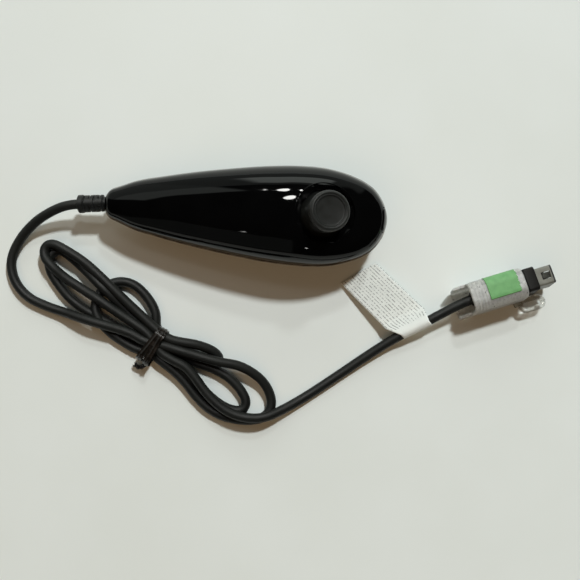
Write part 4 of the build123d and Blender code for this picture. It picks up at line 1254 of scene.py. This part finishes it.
    def build(self, buttons: "Buttons") -> list[bpy.types.Object]:
        """Makes the shells with their openings and what lines them.

        Args:
            buttons: The buttons, which give their openings' outlines.

        Returns:
            The shells, the gate, the seam's lip and the two wells.
        """
        top = self.shell(Side.UPPER, "upper_shell")
        bottom = self.shell(Side.LOWER, "lower_shell")
        relief = Axes(DECK.origin, DECK.z, DECK.x)
        bore_a, bore_b = [
            self.cylinder(f"relief_cut_{end}", relief, (0, 0), self.relief_bore, self.relief_span)
            for end in "ab"
        ]
        gate = self.cylinder("gate_cut", STICK, (0, 0), self.gate_radius + 0.22, (0.5, 30.0))
        carve(top, [gate, buttons.opening(buttons.small, "small_cut"), bore_a], 50.0)
        wells = [
            self.cylinder(f"well_cut_{i}", DECK, (x, 0), self.well_radius + 0.02, (-30, -5.9))
            for i, x in enumerate(self.screws)
        ]
        # the rest cut levels the belly where it stands on the table
        half = 400.0
        under = Axes(np.array([0.0, 0.0, -10.0]), np.array([1.0, 0, 0]), UP)
        rest = bar("rest_cut", under, (-half, half), (half, 20.0), 0.5, 0.1)
        carve(bottom, [buttons.opening(buttons.large, "large_cut"), bore_b, *wells, rest], 50.0)
        lining = [self.gate(), self.seam()]
        lining += [self.well(x, f"screw_well_{i + 1}") for i, x in enumerate(self.screws)]
        return [top, bottom, *lining]


@dataclass(frozen=True)
class Button:
    """One button's outline on the nose."""

    width: float
    height: float
    corner: float
    level: float
    back: float
    side: Side


@dataclass
class Buttons:
    """The two buttons on the nose, whose faces follow the nose just in front of it."""

    body: Body
    proud: float = 0.3
    gap: float = 0.3
    edge: float = 0.7
    forward: float = 0.75
    small: Button = Button(9.6, 5.0, 2.5, 3.5, 106.5, Side.UPPER)
    large: Button = Button(12.6, 8.6, 2.6, -6.0, 106.0, Side.LOWER)

    def opening(self, button: Button, name: str) -> bpy.types.Object:
        """Cutter of the button's outline and its gap, through the front wall.

        Args:
            button: Button that passes through.
            name: Name of the cutter.

        Returns:
            The new object.
        """
        return bar(
            name,
            DECK,
            (button.back - 2.0, 130.0),
            (button.width + 2 * self.gap, button.height + 2 * self.gap),
            button.corner + self.gap,
            0.01,
            (0.0, button.level),
        )

    def front(self, across: np.ndarray, level: np.ndarray, side: Side) -> np.ndarray:
        """Distance from the tail where the nose has the given place in its section.

        The section grows steadily towards the body and shrinks at the end as in Body.rows, so the
        place is found by halving.

        Args:
            across: Distances from the middle.
            level: Signed heights over the seam.
            side: Half of the body.

        Returns:
            Distances from the tail.
        """
        n = self.body.fullness[side]
        low = np.full(across.shape, 88.0)
        high = np.full(across.shape, self.body.length)
        for _ in range(30):
            middle = (low + high) / 2
            width, height = self.body.measures(middle, side)
            turn = np.clip((self.body.length - middle) / self.body.nose_round, 1e-6, 1.0)
            size = rounding(turn)
            width, height = width * size, height * size
            inside = (np.abs(across) / width) ** n + (np.abs(level) / height) ** n < 1
            low, high = np.where(inside, middle, low), np.where(inside, high, middle)
        return low

    def cap(self, button: Button, name: str) -> bpy.types.Object:
        """Button: rings of its outline over the nose's form, rounded at the edge, closed behind.

        Args:
            button: Button to make.
            name: Name of the piece.

        Returns:
            The new object.
        """
        outline = rounded_outline(button.width, button.height, button.corner, 20)
        # shares of the outline's width and height, and distance behind the nose's form
        rings = [(share, share, 0.0) for share in (0.0, *np.linspace(0.15, 0.85, 8))]
        for turn in np.linspace(0.15, 1.0, 6) * np.pi / 2:
            inset = 2 * self.edge * (1 - math.sin(turn))
            behind = self.edge * (1 - math.cos(turn))
            rings.append((1 - inset / button.width, 1 - inset / button.height, behind))
        rows = []
        for share_y, share_z, behind in rings:
            y, level = share_y * outline[:, 0], button.level + share_z * outline[:, 1]
            rows.append(DECK.at(self.front(y, level, button.side) + self.proud - behind, y, level))
        for share in (1.0, 0.0):
            y, level = share * outline.T
            rows.append(DECK.at(button.back + self.forward, y, button.level + level))
        return skin(name, np.array(rows), sharp=50.0)

    def build(self) -> list[bpy.types.Object]:
        """Makes both buttons."""
        return [self.cap(self.small, "small_button"), self.cap(self.large, "large_button")]


@dataclass
class ThumbStick:
    """Rubber cap with its dished ring, and the dome that closes the gate under it."""

    cap_profile: tuple = (
        (0.0, 11.1), (5.2, 11.1), (6.4, 10.95), (7.1, 11.15), (7.55, 11.7), (7.78, 12.6),
        (7.8, 13.5), (7.72, 14.3), (7.5, 14.9), (7.15, 15.3), (6.8, 15.48), (6.5, 15.44),
        (6.3, 15.3), (6.1, 15.2), (5.95, 15.25), (5.75, 15.2), (5.55, 14.95), (5.3, 14.8),
        (4.4, 14.72), (2.6, 14.64), (0.0, 14.6),
    )
    dome_radius: float = 9.8
    dome_wall: float = 0.9
    neck_radius: float = 2.8
    skirt: float = 0.1

    def cap(self) -> bpy.types.Object:
        """Cap turned from a smooth curve through its profile points."""
        profile = np.array(self.cap_profile)
        steps = np.linspace(0, len(profile) - 1, 160)
        curve = through(steps, np.arange(len(profile), dtype=float), profile)
        curve[0, 0] = curve[-1, 0] = 0.0
        curve[:, 0] = np.maximum(curve[:, 0], 0.0)
        return lathe("stick_cap_rubber", STICK, curve, 128, 60.0)

    def dome(self) -> bpy.types.Object:
        """Half ball of one wall thickness, open at the neck and skirted below its widest ring."""
        inner = self.dome_radius - self.dome_wall
        start = math.asin(self.neck_radius / self.dome_radius)
        out = np.linspace(start, np.pi / 2, 40)
        back = np.linspace(np.pi / 2, math.asin(self.neck_radius / inner), 40)
        outer_arc = self.dome_radius * on_circle(out)[:, ::-1]
        inner_arc = inner * on_circle(back)[:, ::-1]
        skirt = np.array([(self.dome_radius, -self.skirt), (inner, -self.skirt)])
        return lathe("stick_dome_shell", STICK, np.concatenate([outer_arc, skirt, inner_arc]), 128)

    def neck(self) -> bpy.types.Object:
        """Short collar between the dome and the cap."""
        profile = np.array(
            [(0.0, 8.6), (2.75, 8.6), (2.75, 9.3), (3.0, 9.6), (3.0, 11.3), (0.0, 11.3)]
        )
        return lathe("stick_neck", STICK, profile, 48)

    def build(self) -> list[bpy.types.Object]:
        """Makes the cap, the dome and the collar."""
        return [self.cap(), self.dome(), self.neck()]


@dataclass
class StrainRelief:
    """Ribbed sleeve on the cord: grooves, each bridged on two sides, and a collar at its end."""

    radius: float = 3.4
    length: float = 10.6
    collar: float = 2.2
    collar_extra: float = 0.25
    groove: float = 0.9
    depth: float = 0.7
    pitch: float = 2.0
    count: int = 4
    front: float = -0.35
    edge: float = 0.35
    ramp: float = 0.18
    first: float = 0.15

    def sleeve(self) -> bpy.types.Object:
        """Surface of radius r(s, a) = R - depth * groove(s) * (1 - bridge(a)), closed at both ends.

        Returns:
            The new object.
        """
        steps = np.linspace(-self.length, self.front, 260)[:, None]
        angle = np.linspace(0, 2 * np.pi, 128, endpoint=False)[None, :]
        collar = self.collar - self.length
        wide = 1 - smooth_step(steps, collar - 0.3, collar)
        radius = self.radius + self.collar_extra * wide + 0 * angle
        for index in range(self.count):
            start = collar + index * self.pitch + self.first
            end = start + self.groove
            shape = smooth_step(steps, start, start + self.ramp)
            shape = shape * (1 - smooth_step(steps, end - self.ramp, end))
            bridge = smooth_step(np.abs(np.cos(angle + (index % 2) * np.pi / 2)), 0.86, 0.93)
            radius = radius - self.depth * shape * (1 - bridge)
        ends = np.minimum(steps + self.length, self.front - steps)
        radius = radius - self.edge * (1 - np.clip(ends / self.edge, 0, 1)) ** 2
        grid = RELIEF.at(steps, radius * np.cos(angle), radius * np.sin(angle))
        start, end = [
            np.broadcast_to(RELIEF.at(place, 0.0, 0.0), grid[:1].shape)
            for place in (-self.length, self.front)
        ]
        return skin("cord_relief", np.concatenate([start, grid, end]))

    def neck(self) -> bpy.types.Object:
        """Neck that runs from the sleeve into the tail."""
        axes = Axes(DECK.origin, DECK.z, DECK.x)
        profile = np.array([(0, -1.4), (2.4, -1.4), (2.4, 7.5), (3.2, 7.5), (3.2, 9.0), (0, 9.0)])
        return lathe("relief_neck", axes, profile, 48)

    def build(self) -> list[bpy.types.Object]:
        """Makes the sleeve and its neck."""
        return [self.sleeve(), self.neck()]


@dataclass
class TwistTie:
    """Coated wire tie: a flat ribbon with its wire down the middle, twice round, ends twisted."""

    half_across: float = 7.9
    low: float = 0.42
    high: float = 8.6
    corner: float = 3.4
    ribbon: float = 2.7
    thick: float = 0.28
    wire: float = 0.42
    wind_radius: float = 0.62
    winds: float = 2.6
    tail_line: tuple = (
        (-31.2, -61.0, 3.4), (-31.3, -62.9, 2.7), (-32.2, -64.3, 2.2), (-33.9, -64.7, 2.0),
        (-35.6, -63.8, 2.1),
    )

    def section(self) -> np.ndarray:
        """Outline of the ribbon: two flat wings and the round wire between them."""
        w, t, r = self.ribbon / 2, self.thick / 2, self.wire
        top = [(-w, 0.0), (-w * 0.96, t), (-r * 1.2, t), (-r * 0.7, r * 0.8), (0.0, r)]
        top += [(r * 0.7, r * 0.8), (r * 1.2, t), (w * 0.96, t), (w, 0.0)]
        under = [(x, -y) for x, y in reversed(top[1:-1])]
        return np.array(top + under)

    def band(self, name: str, shift: float, slant: float, grow: float) -> bpy.types.Object:
        """One turn of the ribbon round the strands, slanted and slightly creased.

        Args:
            name: Name of the piece.
            shift: Distance along the strands.
            slant: Distance that the turn drifts along the strands from side to side.
            grow: Distance that it lies outside the first turn.

        Returns:
            The new object.
        """
        width = 2 * (self.half_across + grow)
        height = self.high - self.low + grow
        outline = rounded_outline(width, height, self.corner + grow, 20)
        turn = np.linspace(0, 2 * np.pi, len(outline), endpoint=False)
        creases = 0.10 * np.sin(7 * turn + shift) + 0.05 * np.sin(13 * turn)
        middle = (self.high + self.low) / 2 + grow / 2
        path = TIE.at(
            shift + slant * outline[:, 0] / width + creases,
            outline[:, 0],
            np.maximum(middle + outline[:, 1], self.wire),
        )
        return sweep(name, path, TIE.x, self.section(), closed=True)

    def tails(self) -> list[bpy.types.Object]:
        """The two ends, wound round each other as a helix about a curved line beside the hank."""
        line = np.array(self.tail_line)
        steps = np.linspace(0, len(line) - 1, 90)
        centre = through(steps, np.arange(len(line), dtype=float), line)
        along = unit(np.gradient(centre, axis=0))
        first = unit(np.cross(along, UP))
        second = np.cross(along, first)
        turn = steps / steps[-1] * self.winds * 2 * np.pi
        section = self.section() * np.array([0.55, 1.0])
        pieces = []
        for index, start in enumerate((0.0, np.pi)):
            cos, sin = on_circle(turn + start).T
            path = centre + self.wind_radius * (cos[:, None] * first + sin[:, None] * second)
            pieces.append(sweep(f"tie_end_{index + 1}", path, UP, section, twist=turn))
        return pieces

    def build(self) -> list[bpy.types.Object]:
        """Makes both turns and both ends."""
        return [
            self.band("tie_turn_1", -1.1, 0.9, 0.0),
            self.band("tie_turn_2", 1.3, -1.2, 0.25),
            *self.tails(),
        ]


@dataclass
class PaperTag:
    """Folded tag: one strip that comes in under the cord, wraps it and goes back out."""

    cord_left: tuple[float, float, float] = (70.9, -43.9, 4.75)
    cord_right: tuple[float, float, float] = (81.6, -37.4, 6.5)
    far_left: tuple[float, float, float] = (45.7, -24.6, 1.1)
    far_right: tuple[float, float, float] = (59.4, -15.2, 2.0)
    ring: float = 2.45
    join: float = 7.5
    flare: float = 4.4
    card: float = 0.16
    flat: tuple[float, float] = (0.0, 0.0)

    def build(self) -> bpy.types.Object:
        """Strip over two parameters, the way along it and the share across it.

        Away from the cord the two layers lie 2 * gap apart, where gap falls from the ring to 0.6
        of the card over the join; round the cord they are joined by half a circle; the height runs
        to the far end as 0.75 t + 0.25 t^2, with a low arch.

        Returns:
            The new object.
        """
        share = np.linspace(0, 1, 25)[None, :]
        left, right = np.array(self.cord_left), np.array(self.cord_right)
        far_left, far_right = np.array(self.far_left), np.array(self.far_right)
        near = left + (right - left) * share[..., None]
        far = far_left + (far_right - far_left) * share[..., None]
        flat = far - near
        aside = unit(right - left)
        flat[..., 2] = 0.0
        reach = np.linalg.norm(flat, axis=-1)
        out = flat / reach[..., None]
        steps = np.linspace(1, 0, 70) ** 1.2
        ones = np.ones(len(steps))
        turn = np.linspace(0, np.pi, 21)[1:-1]
        outward = np.concatenate([steps, np.zeros(len(turn)), steps[::-1]])[:, None] * reach
        side = np.concatenate([-ones, -np.cos(turn), ones])[:, None]
        wrap = np.concatenate([0 * ones, -self.ring * np.sin(turn), 0 * ones])[:, None]
        gap = self.ring * (1 - smooth_step(outward, 0.0, self.join)) + self.card * 0.6
        t = outward / reach
        rise = (far[..., 2] - near[..., 2]) * (0.75 * t + 0.25 * t * t)
        curl = 0.9 * t**3 * (share - 0.3) + 0.5 * np.sin(np.pi * t) * (share - 0.5)
        height = near[..., 2] + rise + curl + side * gap
        height = np.maximum(height, 0.12)
        flare = np.minimum(t / 0.16, (1 - t) / 0.84) * self.flare * (share - 0.5)
        points = near + out * (outward + wrap)[..., None] + aside * flare[..., None]
        points[..., 2] = height
        lengths = np.linalg.norm(np.diff(points, axis=0), axis=-1).mean(axis=1)
        v = np.concatenate([[0.0], np.cumsum(lengths)])[:, None] * MM + 0 * share
        u = share * np.linalg.norm(right - left) * MM * 1.25 + 0 * v
        piece = skin("folded_tag", points, wrap_columns=False, uv=np.stack([u, v], axis=-1))
        thicken(piece, "card", self.card)
        self.flat = (
            float(np.linalg.norm(far_right - far_left) + np.linalg.norm(right - left)) / 2 * MM,
            float(v.max()),
        )
        return piece


@dataclass
class GuardedPlug:
    """Moulded plug body, its frosted guard with tray and loop, and the label on the guard."""

    guard_span: tuple[float, float] = (-24.6, -2.5)
    tray: float = 5.0
    tray_level: float = -1.0
    width: float = 12.6
    height: float = 15.4
    wall: float = 1.2
    top_corner: float = 4.4
    bottom_corner: float = 3.0
    flange: tuple[float, float, float] = (4.4, 9.6, 14.4)
    flange_corner: float = 1.2
    loop_at: tuple[float, float, float] = (0.4, -8.1, -5.8)
    loop_half: tuple[float, float] = (4.6, 2.05)
    tray_slope: float = 0.55
    rib_height: float = 0.16
    rib_pitch: float = 1.25
    rib_zone: tuple = ((-23.6, -23.0), (-18.6, -18.0))
    rim_inset: float = 0.3
    rim_length: float = 0.35
    label_span: tuple[float, float] = (-17.8, -4.7)
    label_drop: float = 7.7
    label_side: float = -3.4
    label_thick: float = 0.09

    def section(self, inset: float) -> np.ndarray:
        """Guard outline: a rounded rectangle whose upper corners are rounder than its lower ones.

        Args:
            inset: Distance inside the outer face.

        Returns:
            Outline points (side, height), the same number for any inset.
        """
        upper, lower = self.top_corner - inset, self.bottom_corner - inset
        halves = (self.width / 2 - inset, self.height / 2 - inset)
        arcs = corner_arcs(*halves, (upper, upper, lower, lower), 24)
        share = np.linspace(0, 1, 26)[1:-1, None]
        points = []
        for arc, following in zip(arcs, arcs[1:] + arcs[:1]):
            points += [arc, arc[-1] + share * (following[0] - arc[-1])]
        return np.concatenate(points)

    def guard(self) -> bpy.types.Object:
        """Sleeve between two outlines whose back end steps out to a tray below the tray level.

        The outer face carries shallow grip ribs near its back, rib_height * cos^2 at rib_pitch.

        Returns:
            The new object.
        """
        outer, inner = self.section(0.0), self.section(self.wall)
        rim_level = self.tray_level + self.tray_slope * np.maximum(outer[:, 0], 0.0)
        step = smooth_step(outer[:, 1] - rim_level, 0.5, -0.5)
        back, front = self.guard_span[0] - self.tray * step, self.guard_span[1]
        along = front + (back - front) * np.linspace(0, 1, 120)[:, None]
        rising, falling = [smooth_step(along, *span) for span in self.rib_zone]
        zone = rising * (1 - falling)
        ribs = zone * np.cos(np.pi * along / self.rib_pitch) ** 2
        grow = self.rib_height * (ribs * smooth_step(outer[:, 1], 1.0, 3.0) - 1)
        gaps = (front - along, along - back)
        rim = self.rim_inset * sum(np.clip(1 - gap / self.rim_length, 0, 1) ** 2 for gap in gaps)
        normal = unit(outer)
        outside = PLUG.at(
            along,
            outer[:, 0] * (1 - rim / 6) + normal[:, 0] * grow,
            outer[:, 1] * (1 - rim / 7) + normal[:, 1] * grow,
        )
        grid = np.concatenate([outside, PLUG.at(along[::-1], inner[:, 0], inner[:, 1])])
        return skin("plug_guard_sleeve", grid, wrap_rows=True, sharp=45.0)

    def loop(self) -> bpy.types.Object:
        """Pull loop: a round section carried along a stadium beside the plug's foot."""
        half_length, half_width = self.loop_half
        outline = rounded_outline(2 * half_length, 2 * half_width, half_width, 20)
        x, y, z = self.loop_at
        path = PLUG.at(x + outline[:, 0], y + outline[:, 1], z)
        section = rounded_outline(1.9, 2.5, 0.8, 6)
        return sweep("guard_pull_loop", path, PLUG.y, section, closed=True)

    def web(self) -> bpy.types.Object:
        """Foot that joins the loop to the guard."""
        return bar("guard_loop_foot", PLUG, (-6.6, -3.2), (3.0, 2.2), 0.7, 0.4, (-6.3, -5.9))

    def body(self) -> list[bpy.types.Object]:
        """Flange, moulded body inside the guard, and the boot that the cord enters."""
        length, width, height = self.flange
        half = length / 2
        return [
            bar("plug_flange", PLUG, (-half, half), (width, height), self.flange_corner, 0.35),
            bar("plug_core", PLUG, (-half - 17.5, -half + 0.1), (9.2, 12.6), 2.0, 0.5),
            bar("plug_boot", PLUG, (-23.7, -19.5), (5.8, 5.8), 2.89, 0.7),
        ]

    def label(self) -> bpy.types.Object:
        """Label wrapped from the top over the far corner, its front edge scuffed unevenly."""
        outline = self.section(-0.03)
        arc = outline[outline[:, 1] > self.height / 2 - self.label_drop]
        arc = arc[np.argsort(np.arctan2(arc[:, 1], arc[:, 0]))]
        arc = arc[arc[:, 0] > self.label_side]
        lengths = np.concatenate([[0], np.cumsum(np.linalg.norm(np.diff(arc, axis=0), axis=1))])
        rows = np.linspace(0, lengths[-1], 60)
        y, z = [np.interp(rows, lengths, values) for values in arc.T]
        waves = ((0.16, 2.3, 0), (0.12, 5.1, 1), (0.1, 9.7, 0))
        wobble = sum(size * np.sin(rows * rate + shift) for size, rate, shift in waves)
        start = self.label_span[0] + 0.03 * np.sin(rows * 3)
        end = self.label_span[1] - 2.2 * np.abs(wobble) - 0.25 * (rows / rows[-1])
        along = start + (end - start) * np.linspace(0, 1, 40)[:, None]
        piece = skin("guard_sticker", PLUG.at(along, y, z), wrap_columns=False)
        thicken(piece, "vinyl", self.label_thick)
        return piece

    def build(self) -> list[bpy.types.Object]:
        """Makes the guard, its loop and foot, the plug's own pieces and the label."""
        return [self.guard(), self.loop(), self.web(), *self.body(), self.label()]


KEPT = {
    "shell_screws": "steel",
    "z_hinge_pin": "steel",
    "z_spring": "spring_steel",
    "button_bracket": "inner_plastic",
    "button_board": "board",
    "button_membrane": "membrane_rubber",
    "stick_lever": "inner_plastic",
    "gimbal_yoke": "inner_plastic",
    "cross_rocker": "inner_plastic",
    "stick_housing": "housing_metal",
    "fore_aft_sensor": "sensor_plastic",
    "side_to_side_sensor": "sensor_plastic",
    "stick_spring": "spring_steel",
    "spring_plate": "inner_plastic",
    "main_board": "board",
    "board_screws": "steel",
    "motion_sensor": "chip",
    "controller_chip": "chip",
    "cable_header": "connector_white",
    "cable_housing": "connector_white",
    "inner_wires": "cord_rubber",
    "plug_tip": "plug_grey",
    "plug_tongue": "plug_black",
    "plug_contacts": "contact_brass",
    "plug_latch_upper": "latch_metal",
    "plug_latch_lower": "latch_metal",
}


@dataclass(frozen=True)
class Dress:
    """One piece's finish, the nodes it replaces, its body, and its slot if not the finish's own."""

    finish: str
    nodes: tuple[str, ...] = ()
    body: str = "controller"
    slot: str = ""


DRESSES = {
    "cord": Dress("cord_rubber", ("cord_lead", "cord_hank", "cord_run")),
    "upper_shell": Dress("shell_gloss", ("top_shell",)),
    "lower_shell": Dress("shell_gloss", ("bottom_shell",)),
    "stick_gate": Dress("shell_gloss"),
    # the lip's pale colour is partly dust and partly a painted highlight
    "seam_lip": Dress("seam_dust_and_glint", slot="shell_gloss"),
    "screw_well_1": Dress("shell_gloss"),
    "screw_well_2": Dress("shell_gloss"),
    "small_button": Dress("button_gloss", ("c_button",), "c_button"),
    "large_button": Dress("button_gloss", ("z_button",), "z_button"),
    "stick_cap_rubber": Dress("cap_rubber", ("stick_cap",), "stick"),
    "stick_dome_shell": Dress("dome_plastic", ("stick_dome",), "stick"),
    "stick_neck": Dress("dome_plastic", (), "stick"),
    "cord_relief": Dress("relief_rubber", ("strain_relief",)),
    "relief_neck": Dress("relief_rubber"),
    "tie_turn_1": Dress("tie_plastic", ("twist_tie",)),
    "tie_turn_2": Dress("tie_plastic"),
    "tie_end_1": Dress("tie_plastic"),
    "tie_end_2": Dress("tie_plastic"),
    "folded_tag": Dress("tag_paper", ("cord_tag",)),
    "plug_guard_sleeve": Dress("guard_clear", ("plug_guard",)),
    "guard_pull_loop": Dress("loop_clear", slot="guard_clear"),
    "guard_loop_foot": Dress("loop_clear", slot="guard_clear"),
    "plug_flange": Dress("plug_black", ("plug_body",)),
    "plug_core": Dress("plug_black"),
    "plug_boot": Dress("plug_black"),
    "guard_sticker": Dress("label_green", ("guard_label",)),
}


@dataclass
class Dresser:
    """Gives each piece its material, its body and the nodes that it stands for."""

    materials: dict[str, bpy.types.Material] = field(default_factory=dict)

    def material(self, finish: str) -> bpy.types.Material:
        """The material of a finish, made once."""
        if finish not in self.materials:
            self.materials[finish] = FINISHES[finish].make()
        return self.materials[finish]

    def dress(self, piece: bpy.types.Object) -> None:
        """Gives one new piece the finish, body and nodes that the table says of it.

        Args:
            piece: Object whose name is in the table.
        """
        dress = DRESSES[piece.name]
        piece.data.materials.clear()
        piece.data.materials.append(self.material(dress.finish))
        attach(piece, dress.body)
        if dress.nodes:
            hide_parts(*dress.nodes)
        log.info("%s on %s", piece.name, dress.body)

    def keep(self) -> None:
        """Gives the nodes that stay their materials."""
        for name, finish in KEPT.items():
            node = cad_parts[name]
            if not node.material_slots:
                node.data.materials.append(None)
            for slot in node.material_slots:
                slot.material = self.material(finish)
            log.info("%s keeps its shape", name)


def build() -> None:
    Studio().build()
    cord, tag = HankedCord(), PaperTag()
    line = cord.build()
    body = Body()
    buttons = Buttons(body)
    pieces = [line, *body.build(buttons), *buttons.build()]
    pieces += [*ThumbStick().build(), *StrainRelief().build()]
    ties, card, plug = TwistTie().build(), tag.build(), GuardedPlug().build()
    dresser = Dresser()
    for piece in (*pieces, *ties, card, *plug):
        dresser.dress(piece)
    dresser.keep()

    kept = ["plug_tip", "plug_tongue", "plug_contacts", "plug_latch_upper", "plug_latch_lower"]
    cord.declare(line, [*ties, card, *plug, *kept])
    log.info("tag cut to %.1f by %.1f mm", tag.flat[0] / MM, tag.flat[1] / MM)


def main() -> None:
    """Builds everything."""
    logging.basicConfig(level=logging.INFO, format="%(message)s")
    build()


if __name__ == "__main__":
    main()
